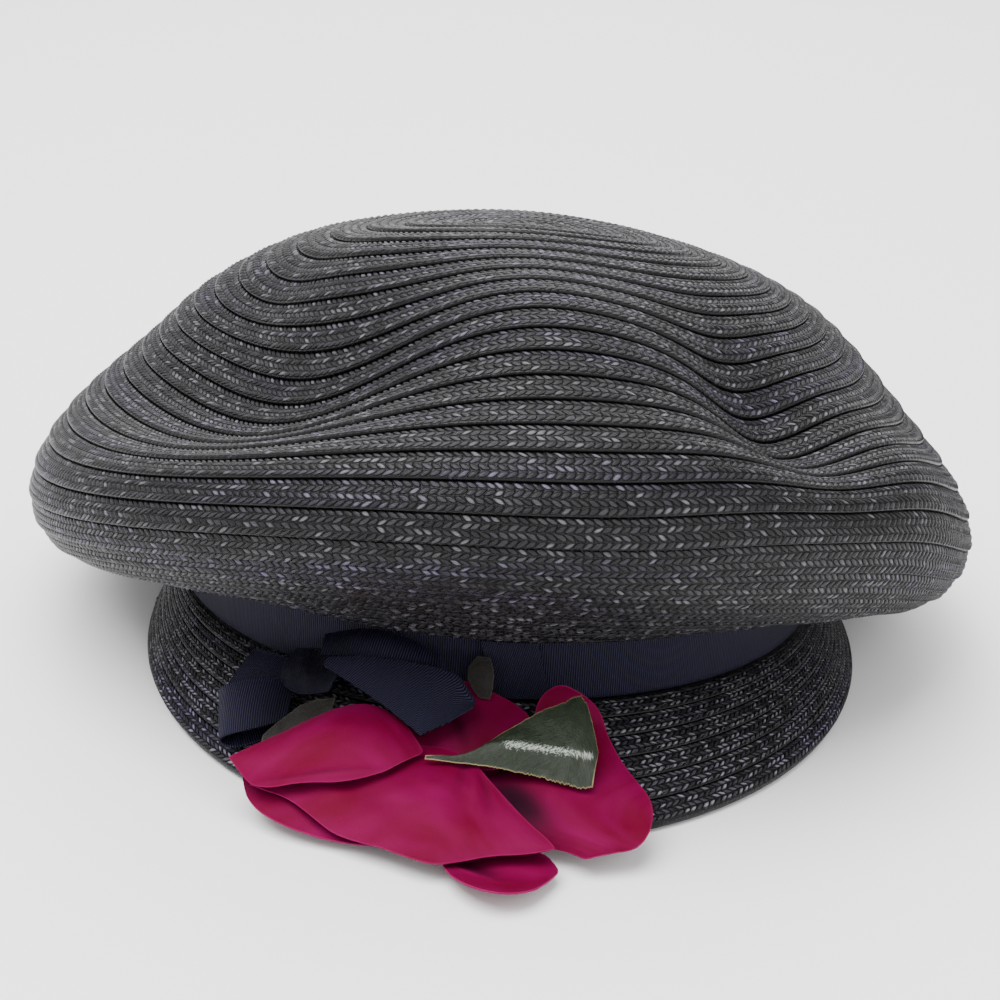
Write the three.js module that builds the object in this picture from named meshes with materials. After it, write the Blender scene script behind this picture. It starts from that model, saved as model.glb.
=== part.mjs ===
// Straw newsboy cap: a puffed crown of lapped braid rows, a ribbed ribbon band, a braid peak,
// a flat ribbon bow and a silk rose with leaves.
//
// Millimetres, +Z up. The cap rests on z = 0 with its front towards -Y.
// The pieces are laid out in the cap's own frame, where z = 0 is the lower edge of the head
// opening, and the whole cap is then laid back on its peak and the rear of its opening.
// Azimuths are in degrees from the front, positive towards +X. Rows of braid are counted
// from the centre of the crown outwards.
import * as THREE from 'three';

// Straw: thickness of the sewn braid, exposed width of a row, height of the step between rows
const WALL = 2.0;
const ROW_WIDTH = 7.9;
const LAP = 0.8;
const LAP_WIDTH = 0.6;
const GAP = 0.3;

// Head opening: inside of the stand that the band goes round, and how far its centre lies back
const HEAD = { halfWidth: 85, halfDepth: 99, back: 15, standHeight: 19.0 };

// How the cap lies: its opening is tipped up at the front and leans a little to -X
const REST = { tilt: 5.5, lean: 1.15 };

// Crown: reach from the centre and height above the opening, at the sides, front and back.
// The last section is where the crown's underside meets the stand.
const CROWN_ROWS = 26;
const CROWN_SECTIONS = [
  { row: 0, side: 0, front: 0, back: 0, sideUp: 100.3, frontUp: 100.3, backUp: 100.3 },
  { row: 4, side: 37.5, front: 26.6, back: 31, sideUp: 97.8, frontUp: 103.5, backUp: 98.0 },
  { row: 8, side: 66.7, front: 56.4, back: 62, sideUp: 87.2, frontUp: 98.7, backUp: 88.0 },
  { row: 12, side: 84.9, front: 86.8, back: 92, sideUp: 67.7, frontUp: 90.4, backUp: 72.0 },
  { row: 15, side: 104.2, front: 106.8, back: 113, sideUp: 53.6, frontUp: 80.7, backUp: 55.0 },
  { row: 17.5, side: 119.0, front: 123.1, back: 128, sideUp: 40.6, frontUp: 70.4, backUp: 38.0 },
  { row: 20, side: 126.5, front: 127.7, back: 136, sideUp: 21.9, frontUp: 53.3, backUp: 19.5 },
  { row: 22.5, side: 117.3, front: 117.4, back: 130, sideUp: 7.9, frontUp: 37.2, backUp: 6.0 },
  { row: 26, side: 91.0, front: 93.0, back: 119.5, sideUp: 19.0, frontUp: 19.0, backUp: 19.0 },
];

// Soft lobes and dents of the crown: where each is deepest, how far it spreads, how far it
// lifts the straw and how far it pushes it outwards
const CROWN_FOLDS = [
  { name: 'front lobe', azimuth: -1, row: 11.7, wide: 25, rows: 4.3, lift: 10.3, push: 2.8 },
  { name: 'left dent', azimuth: -41, row: 12.7, wide: 43, rows: 4.4, lift: -19.4, push: -9.3 },
  { name: 'right dent', azimuth: 41, row: 15, wide: 13, rows: 4.1, lift: -13, push: -5.4 },
  { name: 'left cheek', azimuth: -110, row: 11.2, wide: 28, rows: 6, lift: -2.5, push: 18 },
  { name: 'right cheek', azimuth: 101, row: 12.1, wide: 31, rows: 3.5, lift: 7.7, push: 4.7 },
  { name: 'front brow', azimuth: -19, row: 16.9, wide: 28, rows: 3.5, lift: 1.6, push: 1.1 },
  { name: 'right brow', azimuth: 44, row: 18.6, wide: 23, rows: 3.6, lift: 11.7, push: 1.8 },
  { name: 'left crease', azimuth: -81, row: 8, wide: 29, rows: 2.4, lift: -7, push: -2.5 },
];

// Peak: a flange under the stand and the band, then rows that reach outwards from it.
// The rise is that of the outer edge above the table.
const PEAK_ROWS = 6;
const PEAK_BEND = 1.2;
const PEAK_FLANGE = 3.4;
const PEAK_SECTIONS = [
  { azimuth: -114, reach: 1.5, rise: 2.5 },
  { azimuth: -90, reach: 4.5, rise: 0.3 },
  { azimuth: -60, reach: 14.8, rise: 0 },
  { azimuth: -30, reach: 27.3, rise: 0 },
  { azimuth: 0, reach: 34, rise: 0 },
  { azimuth: 30, reach: 29, rise: 0 },
  { azimuth: 60, reach: 18.8, rise: 0 },
  { azimuth: 90, reach: 8, rise: 0.3 },
  { azimuth: 114, reach: 1.5, rise: 2.5 },
];

// Ribbon band round the stand
const BAND = { height: 15.7, thick: 1.0, lift: 0.8 };

// A strip of the same ribbon that crosses the band beside the bow, between two azimuths
const CROSS_STRIP = { from: -1, to: 8, slant: 2.5, low: 1.2, high: 15.8, out: 0.4, thick: 0.8 };

// Where the rose and the bow sit on the peak: share of its reach, and azimuth
const ROSE_SEAT = { share: 0.5, azimuth: -6 };
const BOW_SEAT = { share: 0.4, azimuth: -27 };

// Soft trim. Each piece is a thin sheet through sections that run from point 0 to point 1.
// u is to the right along the peak, v down its slope and w out from it. A section with one
// u or one v keeps it from end to end. The bulge lifts the middle of the section.
const PETAL_THICK = 1.0;
const BACK_PETAL = [
  { u: -45, v0: 12, v1: 16, w0: 3.0, w1: 3.0, bulge: 0.2 },
  { u: -38, v0: 2, v1: 24, w0: 2.2, w1: 4.6, bulge: 0.3 },
  { u: -24, v0: -7, v1: 28.5, w0: 1.4, w1: 4.8, bulge: 0.4 },
  { u: -8, v0: -11, v1: 28.5, w0: 1.2, w1: 4.4, bulge: 0.2 },
  { u: 6, v0: -11, v1: 23.5, w0: 1.2, w1: 2.4, bulge: 0 },
  { u: 15, v0: -6, v1: 21, w0: 1.2, w1: 1.8, bulge: 0 },
];
const CENTRE_PETAL = [
  { v: -20, u0: 0, u1: 5, w0: 4.6, w1: 4.6, bulge: 0.4 },
  { v: -15, u0: -6, u1: 16, w0: 3.2, w1: 3.6, bulge: 1.2 },
  { v: -8, u0: -8, u1: 17, w0: 3.4, w1: 3.6, bulge: 1.8 },
  { v: -1, u0: -8, u1: 13, w0: 4.0, w1: 3.8, bulge: 1.5 },
];
const RIGHT_PETAL = [
  { v: -19.5, u0: 27, u1: 33, w0: 5.2, w1: 4.8, bulge: 0.2 },
  { v: -16.5, u0: 23, u1: 36, w0: 2.6, w1: 2.8, bulge: 0.8 },
  { v: -11, u0: 20, u1: 39, w0: 1, w1: 1.9, bulge: 1.5 },
  { v: -3, u0: 18.5, u1: 44, w0: 0.8, w1: 2.6, bulge: 2 },
  { v: 2, u0: 16.8, u1: 48, w0: 2, w1: 3.4, bulge: 1.8 },
  { v: 8, u0: 11, u1: 52, w0: 3.9, w1: 4.3, bulge: 1.6 },
  { v: 16, u0: 12.5, u1: 52.5, w0: 4, w1: 5.4, bulge: 1.6 },
  { v: 20.5, u0: 23, u1: 50.5, w0: 3.6, w1: 5.8, bulge: 1.4 },
  { v: 23, u0: 31.5, u1: 47.5, w0: 3.4, w1: 6.2, bulge: 1.2 },
  { v: 26, u0: 36, u1: 42, w0: 5.4, w1: 6.6, bulge: 0.4 },
];
const MIDDLE_PETAL = [
  { u: -42, v0: 17, v1: 18.5, w0: 6.0, w1: 6.0, bulge: 0.2 },
  { u: -32, v0: 9, v1: 20.5, w0: 5.2, w1: 6.4, bulge: 0.8 },
  { u: -20, v0: 4, v1: 28, w0: 5.0, w1: 7.2, bulge: 1.8 },
  { u: -8, v0: 1, v1: 31.5, w0: 5.6, w1: 8.4, bulge: 2.2 },
  { u: 4, v0: 1, v1: 35, w0: 5.6, w1: 10.6, bulge: 1.8 },
  { u: 14, v0: 9, v1: 32, w0: 7.4, w1: 9.4, bulge: 1.2 },
  { u: 24, v0: 19, v1: 29, w0: 8.4, w1: 9.2, bulge: 0.6 },
  { u: 32, v0: 25, v1: 27, w0: 8.8, w1: 9.0, bulge: 0 },
];
const LEFT_PETAL = [
  { u: -48, v0: 12, v1: 14, w0: 8.6, w1: 8.8, bulge: 0.3 },
  { u: -40, v0: 5.5, v1: 19.5, w0: 8.0, w1: 8.8, bulge: 3.0 },
  { u: -30, v0: -2.5, v1: 18, w0: 8.0, w1: 9.8, bulge: 4.5 },
  { u: -20, v0: -7.5, v1: 16.5, w0: 8.0, w1: 10.6, bulge: 4.2 },
  { u: -11, v0: -5, v1: 12.5, w0: 8.0, w1: 10.6, bulge: 2.4 },
  { u: -3, v0: 2, v1: 7, w0: 8.6, w1: 9.2, bulge: 0.3 },
];
const LOWER_PETAL = [
  { u: 6.5, v0: 28, v1: 33.5, w0: 5.2, w1: 7.6, bulge: -0.2 },
  { u: 12, v0: 24.5, v1: 39.5, w0: 4, w1: 12.6, bulge: -1.4 },
  { u: 20, v0: 23.5, v1: 43.5, w0: 3.6, w1: 16.2, bulge: -1.8 },
  { u: 28, v0: 24.5, v1: 41, w0: 3.7, w1: 13.8, bulge: -1.2 },
  { u: 33.5, v0: 27.5, v1: 33, w0: 4.6, w1: 7.8, bulge: 0 },
];
const GREEN_LEAF = [
  { u: -2, v0: 5.8, v1: 6.8, w0: 9.6, w1: 9.6, bulge: 0 },
  { u: 6, v0: 4.2, v1: 6.2, w0: 9.4, w1: 9, bulge: 0.2 },
  { u: 12, v0: 0, v1: 5.8, w0: 9.4, w1: 8.4, bulge: 0.4 },
  { u: 20, v0: -7.5, v1: 6, w0: 10.6, w1: 8, bulge: 0.6 },
  { u: 28, v0: -12.8, v1: 7, w0: 11.4, w1: 7.9, bulge: 0.6 },
  { u: 32, v0: -15, v1: 7.6, w0: 11.6, w1: 7.9, bulge: 0.6 },
  { u: 35.5, v0: -8.5, v1: 8, w0: 10.6, w1: 7.9, bulge: 0.4 },
  { u: 38, v0: -1, v1: 7.5, w0: 9.4, w1: 8.2, bulge: 0.2 },
];
const BROWN_LEAF = [
  { u: -43, v0: 2, v1: 3.5, w0: 3.6, w1: 3.6, bulge: 0 },
  { u: -39, v0: -4, v1: 4, w0: 3.8, w1: 3.8, bulge: 0.4 },
  { u: -34, v0: -9, v1: 0, w0: 3.9, w1: 4.0, bulge: 0.5 },
  { u: -28, v0: -11, v1: -4, w0: 4.1, w1: 4.2, bulge: 0.3 },
];
const SMALL_LEAF = [
  { v: -24.5, u0: 5, u1: 8, w0: 9.8, w1: 9.8, bulge: 0 },
  { v: -21, u0: 3.2, u1: 9.5, w0: 8.4, w1: 8.6, bulge: 0.3 },
  { v: -17.5, u0: 4.5, u1: 9.8, w0: 6.8, w1: 6.8, bulge: 0.2 },
  { v: -15, u0: 7, u1: 9.5, w0: 6, w1: 6, bulge: 0 },
];
const FRONT_TAIL = [
  { u: -31, v0: -17.5, v1: -15, w0: 11.4, w1: 11.4, bulge: 0 },
  { u: -23, v0: -18.5, v1: -11, w0: 12.0, w1: 11.0, bulge: 0.3 },
  { u: -13, v0: -18.5, v1: -5, w0: 12.4, w1: 11.2, bulge: 0.4 },
  { u: -4, v0: -18, v1: 1.5, w0: 12.2, w1: 11.4, bulge: 0.4 },
  { u: 2, v0: -16.5, v1: -3.5, w0: 11.8, w1: 11.2, bulge: 0.3 },
  { u: 7, v0: -10.5, v1: -8.5, w0: 11.4, w1: 11.2, bulge: 0 },
];
const TOP_LOOP = [
  { u: -33, v0: -25, v1: -19.3, w0: 10.2, w1: 10.0, bulge: 0.4 },
  { u: -23, v0: -27, v1: -19.4, w0: 11.6, w1: 11.0, bulge: 1.0 },
  { u: -12, v0: -25.5, v1: -19.5, w0: 11.4, w1: 11.2, bulge: 0.8 },
  { u: -4, v0: -22.5, v1: -19.5, w0: 10.6, w1: 10.8, bulge: 0 },
];
const BOW_KNOT = [
  { u: -8, v0: -12.5, v1: -4.4, w0: 6.9, w1: 6.6, bulge: 0.8 },
  { u: -2, v0: -14, v1: -1, w0: 7.6, w1: 7.6, bulge: 1.4 },
  { u: 4, v0: -14, v1: -1.5, w0: 8.6, w1: 7.8, bulge: 1.4 },
  { u: 9, v0: -13, v1: -3.5, w0: 9.2, w1: 8.0, bulge: 0.6 },
];
const LEFT_LOOP = [
  { u0: -4, v0: -4, w0: 4.2, u1: 1, v1: 6, w1: 5.6, bulge: 0 },
  { u0: -12, v0: -1.5, w0: 6.8, u1: -4, v1: 11, w1: 6.4, bulge: 0.5 },
  { u0: -19, v0: 2.5, w0: 6.6, u1: -10.5, v1: 15, w1: 5.8, bulge: 0.5 },
  { u0: -22, v0: 4, w0: 4.0, u1: -13.5, v1: 16.5, w1: 3.4, bulge: 0 },
  { u0: -18, v0: 3, w0: 1.6, u1: -10, v1: 15.5, w1: 1.4, bulge: 0 },
  { u0: -9, v0: 0, w0: 1.2, u1: -3, v1: 10, w1: 1.2, bulge: 0 },
];
const LEFT_TAIL = [
  { u0: -6, v0: -11.5, w0: 2.5, u1: -4, v1: -5.5, w1: 1.5, bulge: 0 },
  { u0: -15, v0: -12, w0: 2.5, u1: -13, v1: -4.5, w1: 1.5, bulge: 0.3 },
  { u0: -23, v0: -12, w0: 1.7, u1: -25, v1: 0, w1: -0.5, bulge: 0.3 },
];

// Fineness of the meshes
const CROWN_SEGMENTS = 52;
const INNER_RINGS = 14;
const PEAK_SEGMENTS = 34;
const PETAL_GRID = { along: 8, across: 5 };
const RIBBON_GRID = { along: 9, across: 3 };
const LEAF_GRID = { along: 7, across: 3 };

const STRAW = { color: 0x3c3b42, roughness: 0.55, metalness: 0 };
const RIBBON = { color: 0x1b2030, roughness: 0.7, metalness: 0 };
const SILK = { color: 0xb0175c, roughness: 0.5, metalness: 0 };
const LEAF_GREEN = { color: 0x46583c, roughness: 0.35, metalness: 0 };
const LEAF_BROWN = { color: 0x3b332c, roughness: 0.6, metalness: 0 };

const radians = THREE.MathUtils.degToRad;

// A natural cubic spline through (x, y) pairs with rising x.
function spline(xs, ys) {
  const n = xs.length;
  const bend = new Array(n).fill(0);
  const carry = new Array(n).fill(0);
  for (let i = 1; i < n - 1; i++) {
    const before = xs[i] - xs[i - 1];
    const after = xs[i + 1] - xs[i];
    const share = before / (before + after);
    const pivot = share * bend[i - 1] + 2;
    bend[i] = (share - 1) / pivot;
    const turn = (ys[i + 1] - ys[i]) / after - (ys[i] - ys[i - 1]) / before;
    carry[i] = ((6 * turn) / (before + after) - share * carry[i - 1]) / pivot;
  }
  const curve = new Array(n).fill(0);
  for (let i = n - 2; i > 0; i--) curve[i] = bend[i] * curve[i + 1] + carry[i];
  return (x) => {
    let i = 0;
    while (i < n - 2 && x > xs[i + 1]) i++;
    const step = xs[i + 1] - xs[i];
    const a = (xs[i + 1] - x) / step;
    const b = (x - xs[i]) / step;
    const pull = ((a ** 3 - a) * curve[i] + (b ** 3 - b) * curve[i + 1]) * (step ** 2 / 6);
    return a * ys[i] + b * ys[i + 1] + pull;
  };
}

// Splines through every column of a table, against one of its columns.
function columns(table, key) {
  const xs = table.map((row) => row[key]);
  const made = {};
  for (const name of Object.keys(table[0])) {
    if (name !== key && name !== 'name') made[name] = spline(xs, table.map((row) => row[name]));
  }
  return made;
}

const crown = columns(CROWN_SECTIONS, 'row');
const peak = columns(PEAK_SECTIONS, 'azimuth');

// Height of the table under the cap, in the cap's own frame.
function tableHeight(x, y) {
  const rear = HEAD.back + HEAD.halfDepth + WALL;
  return Math.tan(radians(REST.tilt)) * (y - rear) + Math.tan(radians(REST.lean)) * x;
}

// A point of the crown's surface before the laps are raised on it.
function crownPoint(row, azimuth) {
  const ahead = Math.cos(azimuth);
  const beside = Math.sin(azimuth);
  const reach = ahead > 0 ? crown.front(row) : crown.back(row);
  const side = crown.sideUp(row);
  const front = crown.frontUp(row);
  const back = crown.backUp(row);
  const point = new THREE.Vector3(
    crown.side(row) * beside,
    -reach * ahead,
    side + ((front - back) / 2) * ahead + ((front + back) / 2 - side) * ahead ** 2,
  );
  for (const fold of CROWN_FOLDS) {
    const turn = Math.atan2(
      Math.sin(azimuth - radians(fold.azimuth)),
      Math.cos(azimuth - radians(fold.azimuth)),
    );
    const share = Math.exp(-((turn / radians(fold.wide)) ** 2) - ((row - fold.row) / fold.rows) ** 2);
    point.x += fold.push * share * beside;
    point.y -= fold.push * share * ahead;
    point.z += fold.lift * share;
  }
  return point;
}

// The outward unit normal of a surface given as point(u, v).
function normalOf(point, u, v) {
  const step = 0.01;
  const alongU = point(u + step, v).sub(point(u - step, v));
  const alongV = point(u, v + step).sub(point(u, v - step));
  return alongU.cross(alongV).normalize();
}

function crownOffset(row, azimuth, out) {
  return crownPoint(row, azimuth).addScaledVector(normalOf(crownPoint, row, azimuth), out);
}

// A point on an ellipse a given distance outside the inside of the stand.
function standPoint(azimuth, out, z) {
  return new THREE.Vector3(
    (HEAD.halfWidth + out) * Math.sin(azimuth),
    HEAD.back - (HEAD.halfDepth + out) * Math.cos(azimuth),
    z,
  );
}

// A point of the peak's upper surface, u = 0 where the rows start and u = 1 at the outer edge.
function peakPoint(u, azimuth) {
  const degrees = THREE.MathUtils.radToDeg(azimuth);
  const root = standPoint(azimuth, PEAK_FLANGE, -GAP);
  const away = new THREE.Vector3(
    Math.sin(azimuth) / HEAD.halfWidth,
    -Math.cos(azimuth) / HEAD.halfDepth,
    0,
  ).normalize();
  const edge = root.clone().addScaledVector(away, peak.reach(degrees));
  edge.z = tableHeight(edge.x, edge.y) + WALL + peak.rise(degrees);
  const point = root.clone().lerp(edge, u);
  point.z = root.z + (edge.z - root.z) * Math.max(u, 0) ** PEAK_BEND;
  return point;
}

function peakOffset(u, azimuth, out) {
  return peakPoint(u, azimuth).addScaledVector(normalOf(peakPoint, u, azimuth), out);
}

// A ring of points, one for each step round the full circle.
function ring(segments, place) {
  return Array.from({ length: segments }, (_, i) => place((i / segments) * 2 * Math.PI));
}

// A closed body through rings of points, each joined to the next one. A ring of one point
// closes that end. Without such ends, the last ring is joined to the first one.
function bodyThroughRings(rings) {
  const positions = [];
  const starts = rings.map((points) => {
    const start = positions.length / 3;
    for (const point of points) positions.push(point.x, point.y, point.z);
    return start;
  });
  const faces = [];
  const joined = rings[0].length === 1 ? rings.length - 1 : rings.length;
  for (let k = 0; k < joined; k++) {
    const next = (k + 1) % rings.length;
    const count = Math.max(rings[k].length, rings[next].length);
    const near = (i) => starts[k] + (i % rings[k].length);
    const far = (i) => starts[next] + (i % rings[next].length);
    for (let i = 0; i < count; i++) {
      if (rings[next].length > 1) faces.push(near(i), far(i), far(i + 1));
      if (rings[k].length > 1) faces.push(near(i), far(i + 1), near(i + 1));
    }
  }
  return geometryOf(positions, faces);
}

// A closed body between two grids of points with the same rows and columns.
function bodyBetweenSheets(top, bottom) {
  const rows = top.length;
  const cols = top[0].length;
  const positions = [];
  for (const sheet of [top, bottom]) {
    for (const row of sheet) for (const point of row) positions.push(point.x, point.y, point.z);
  }
  const upper = (i, j) => i * cols + j;
  const lower = (i, j) => rows * cols + i * cols + j;
  const faces = [];
  const quad = (a, b, c, d) => faces.push(a, b, c, a, c, d);
  for (let i = 0; i < rows - 1; i++) {
    for (let j = 0; j < cols - 1; j++) {
      quad(upper(i, j), upper(i + 1, j), upper(i + 1, j + 1), upper(i, j + 1));
      quad(lower(i, j), lower(i, j + 1), lower(i + 1, j + 1), lower(i + 1, j));
    }
    quad(upper(i, 0), lower(i, 0), lower(i + 1, 0), upper(i + 1, 0));
    quad(upper(i, cols - 1), upper(i + 1, cols - 1), lower(i + 1, cols - 1), lower(i, cols - 1));
  }
  for (let j = 0; j < cols - 1; j++) {
    quad(upper(0, j), upper(0, j + 1), lower(0, j + 1), lower(0, j));
    quad(upper(rows - 1, j), lower(rows - 1, j), lower(rows - 1, j + 1), upper(rows - 1, j + 1));
  }
  return geometryOf(positions, faces);
}

// Six times the volume that the faces enclose, positive where they point out.
function volumeOf(positions, faces) {
  const corner = (i) => new THREE.Vector3().fromArray(positions, 3 * i);
  let volume = 0;
  for (let i = 0; i < faces.length; i += 3) {
    volume += corner(faces[i]).dot(corner(faces[i + 1]).cross(corner(faces[i + 2])));
  }
  return volume;
}

function geometryOf(positions, faces) {
  if (volumeOf(positions, faces) < 0) faces.reverse();
  const geometry = new THREE.BufferGeometry();
  geometry.setAttribute('position', new THREE.Float32BufferAttribute(positions, 3));
  geometry.setIndex(faces);
  geometry.computeVertexNormals();
  return geometry;
}

function piece(name, geometry, look) {
  const mesh = new THREE.Mesh(geometry, new THREE.MeshStandardMaterial(look));
  mesh.name = name;
  return mesh;
}

// Crown: lapped rows from the centre to the stand, down the stand, and back up the inside.
function crownPiece() {
  const rings = [[crownPoint(0, 0).add(new THREE.Vector3(0, 0, LAP))]];
  for (let row = 1; row <= CROWN_ROWS; row++) {
    rings.push(ring(CROWN_SEGMENTS, (a) => crownOffset(row - LAP_WIDTH / ROW_WIDTH, a, LAP)));
    rings.push(ring(CROWN_SEGMENTS, (a) => crownOffset(row, a, 0)));
  }
  rings.push(ring(CROWN_SEGMENTS, (a) => standPoint(a, WALL, HEAD.standHeight)));
  rings.push(ring(CROWN_SEGMENTS, (a) => standPoint(a, WALL, 0)));
  rings.push(ring(CROWN_SEGMENTS, (a) => standPoint(a, 0, 0)));
  rings.push(ring(CROWN_SEGMENTS, (a) => standPoint(a, 0, HEAD.standHeight + WALL)));
  for (let k = 1; k < INNER_RINGS; k++) {
    const row = CROWN_ROWS * (1 - k / INNER_RINGS);
    rings.push(ring(CROWN_SEGMENTS, (a) => crownOffset(row, a, -WALL)));
  }
  rings.push([crownPoint(0, 0).sub(new THREE.Vector3(0, 0, WALL))]);
  return piece('crown', bodyThroughRings(rings), STRAW);
}

// Peak: the same lapped rows, running round the front and narrowing towards the sides.
function peakPiece() {
  const first = radians(PEAK_SECTIONS[0].azimuth);
  const last = radians(PEAK_SECTIONS.at(-1).azimuth);
  const across = [[0, 0]];
  for (let row = 1; row <= PEAK_ROWS; row++) {
    across.push([(row - 0.1) / PEAK_ROWS, LAP]);
    if (row < PEAK_ROWS) across.push([row / PEAK_ROWS, 0]);
  }
  const top = [];
  const bottom = [];
  for (let i = 0; i <= PEAK_SEGMENTS; i++) {
    const azimuth = first + ((last - first) * i) / PEAK_SEGMENTS;
    const upper = across.map(([u, out]) => peakOffset(u, azimuth, out));
    const lower = across.map(([u]) => peakOffset(u, azimuth, -WALL));
    top.push([standPoint(azimuth, 0, -GAP), ...upper]);
    bottom.push([standPoint(azimuth, 0, -GAP - WALL), ...lower]);
  }
  return piece('peak', bodyBetweenSheets(top, bottom), STRAW);
}

// Band: a ribbon ring with a rectangular section, just clear of the stand.
function bandPiece() {
  const inner = WALL + GAP;
  const outer = inner + BAND.thick;
  const top = BAND.lift + BAND.height;
  const rings = [
    ring(CROWN_SEGMENTS, (a) => standPoint(a, outer, top)),
    ring(CROWN_SEGMENTS, (a) => standPoint(a, outer, BAND.lift)),
    ring(CROWN_SEGMENTS, (a) => standPoint(a, inner, BAND.lift)),
    ring(CROWN_SEGMENTS, (a) => standPoint(a, inner, top)),
  ];
  return piece('hat_band', bodyThroughRings(rings), RIBBON);
}

// Cross strip: lies on the band, its ends slanting.
function crossStripPiece() {
  const inner = WALL + GAP + BAND.thick + CROSS_STRIP.out;
  const steps = [0, 1, 2, 3].map((k) => k / 3);
  const place = (share, high, out) => {
    const slanted = CROSS_STRIP.from + (CROSS_STRIP.to - CROSS_STRIP.from) * share;
    const azimuth = radians(slanted + CROSS_STRIP.slant * (0.5 - high));
    const z = CROSS_STRIP.low + (CROSS_STRIP.high - CROSS_STRIP.low) * high;
    return standPoint(azimuth, out, z);
  };
  const sheet = (out) => steps.map((share) => [0, 1].map((high) => place(share, high, out)));
  const body = bodyBetweenSheets(sheet(inner + CROSS_STRIP.thick), sheet(inner));
  return piece('band_cross_strip', body, RIBBON);
}

// Turns (u, v, w) on a seat of the peak into a point of the cap's frame.
function seatOnPeak({ share, azimuth }) {
  const at = peakPoint(share, radians(azimuth));
  const out = normalOf(peakPoint, share, radians(azimuth));
  const right = new THREE.Vector3(0, 0, 1).cross(out).normalize();
  const down = right.clone().cross(out);
  return (u, v, w) => at.clone()
    .addScaledVector(right, u)
    .addScaledVector(down, v)
    .addScaledVector(out, w);
}

// A thin sheet through the sections of a table, laid on a seat. Where it would sink into
// the table it lies on it instead.
function trimPiece(name, sections, seat, thick, grid, look) {
  const rows = sections.map(({ u, v, u0 = u, u1 = u, v0 = v, v1 = v, w0, w1, bulge }) => (
    { u0, v0, w0, u1, v1, w1, bulge }
  ));
  const place = Object.fromEntries(Object.keys(rows[0]).map((key) => (
    [key, spline(rows.map((_, i) => i), rows.map((row) => row[key]))]
  )));
  const middle = (i, t) => seat(
    place.u0(i) + (place.u1(i) - place.u0(i)) * t,
    place.v0(i) + (place.v1(i) - place.v0(i)) * t,
    place.w0(i) + (place.w1(i) - place.w0(i)) * t + place.bulge(i) * 4 * t * (1 - t),
  );
  const last = rows.length - 1;
  const sheet = (out) => Array.from({ length: grid.along + 1 }, (_, k) => (
    Array.from({ length: grid.across + 1 }, (_, j) => {
      const i = (last * k) / grid.along;
      const t = j / grid.across;
      const point = middle(i, t).addScaledVector(normalOf(middle, i, t), out * thick);
      const floor = tableHeight(point.x, point.y) + GAP + (out > 0 ? thick : 0);
      point.z = Math.max(point.z, floor);
      return point;
    })
  ));
  return piece(name, bodyBetweenSheets(sheet(0.5), sheet(-0.5)), look);
}

function rosePieces() {
  const seat = seatOnPeak(ROSE_SEAT);
  const petals = {
    petal_back: BACK_PETAL,
    petal_centre: CENTRE_PETAL,
    petal_right: RIGHT_PETAL,
    petal_middle: MIDDLE_PETAL,
    petal_left: LEFT_PETAL,
    petal_lower: LOWER_PETAL,
  };
  const leaves = {
    leaf_green: [GREEN_LEAF, LEAF_GREEN],
    leaf_brown: [BROWN_LEAF, LEAF_BROWN],
    leaf_small: [SMALL_LEAF, LEAF_GREEN],
  };
  return [
    ...Object.entries(petals).map(([name, table]) => (
      trimPiece(name, table, seat, PETAL_THICK, PETAL_GRID, SILK)
    )),
    ...Object.entries(leaves).map(([name, [table, look]]) => (
      trimPiece(name, table, seat, PETAL_THICK, LEAF_GRID, look)
    )),
  ];
}

function bowPieces() {
  const rose = seatOnPeak(ROSE_SEAT);
  const bow = seatOnPeak(BOW_SEAT);
  return [
    trimPiece('bow_front_tail', FRONT_TAIL, rose, BAND.thick, RIBBON_GRID, RIBBON),
    trimPiece('bow_top_loop', TOP_LOOP, rose, BAND.thick, RIBBON_GRID, RIBBON),
    trimPiece('bow_knot', BOW_KNOT, bow, BAND.thick, RIBBON_GRID, RIBBON),
    trimPiece('bow_left_loop', LEFT_LOOP, bow, BAND.thick, RIBBON_GRID, RIBBON),
    trimPiece('bow_left_tail', LEFT_TAIL, bow, BAND.thick, RIBBON_GRID, RIBBON),
  ];
}

// Lays the cap back on its rest plane and centres its footprint.
function atRest(parts) {
  const cap = new THREE.Group();
  cap.add(...parts);
  const up = new THREE.Vector3(-Math.tan(radians(REST.lean)), -Math.tan(radians(REST.tilt)), 1);
  cap.quaternion.setFromUnitVectors(up.normalize(), new THREE.Vector3(0, 0, 1));
  const box = new THREE.Box3().setFromObject(cap, true);
  cap.position.set(-(box.min.x + box.max.x) / 2, -(box.min.y + box.max.y) / 2, -box.min.z);
  const scene = new THREE.Group();
  scene.add(cap);
  return scene;
}

export default atRest([
  crownPiece(),
  bandPiece(),
  crossStripPiece(),
  peakPiece(),
  ...bowPieces(),
  ...rosePieces(),
]);
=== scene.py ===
"""Straw newsboy cap: a puffed crown and a peak of sewn plaited straw, a grosgrain band and bow,
and a silk rose with cloth leaves.

Sizes are in millimetres and repeat the part's own tables. Meshes are made in metres.
"""

import logging
import math
from collections.abc import Callable, Iterator
from dataclasses import dataclass, field
from enum import Enum
from functools import partial

import bpy
import numpy as np
from mathutils import Matrix, Vector


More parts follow.
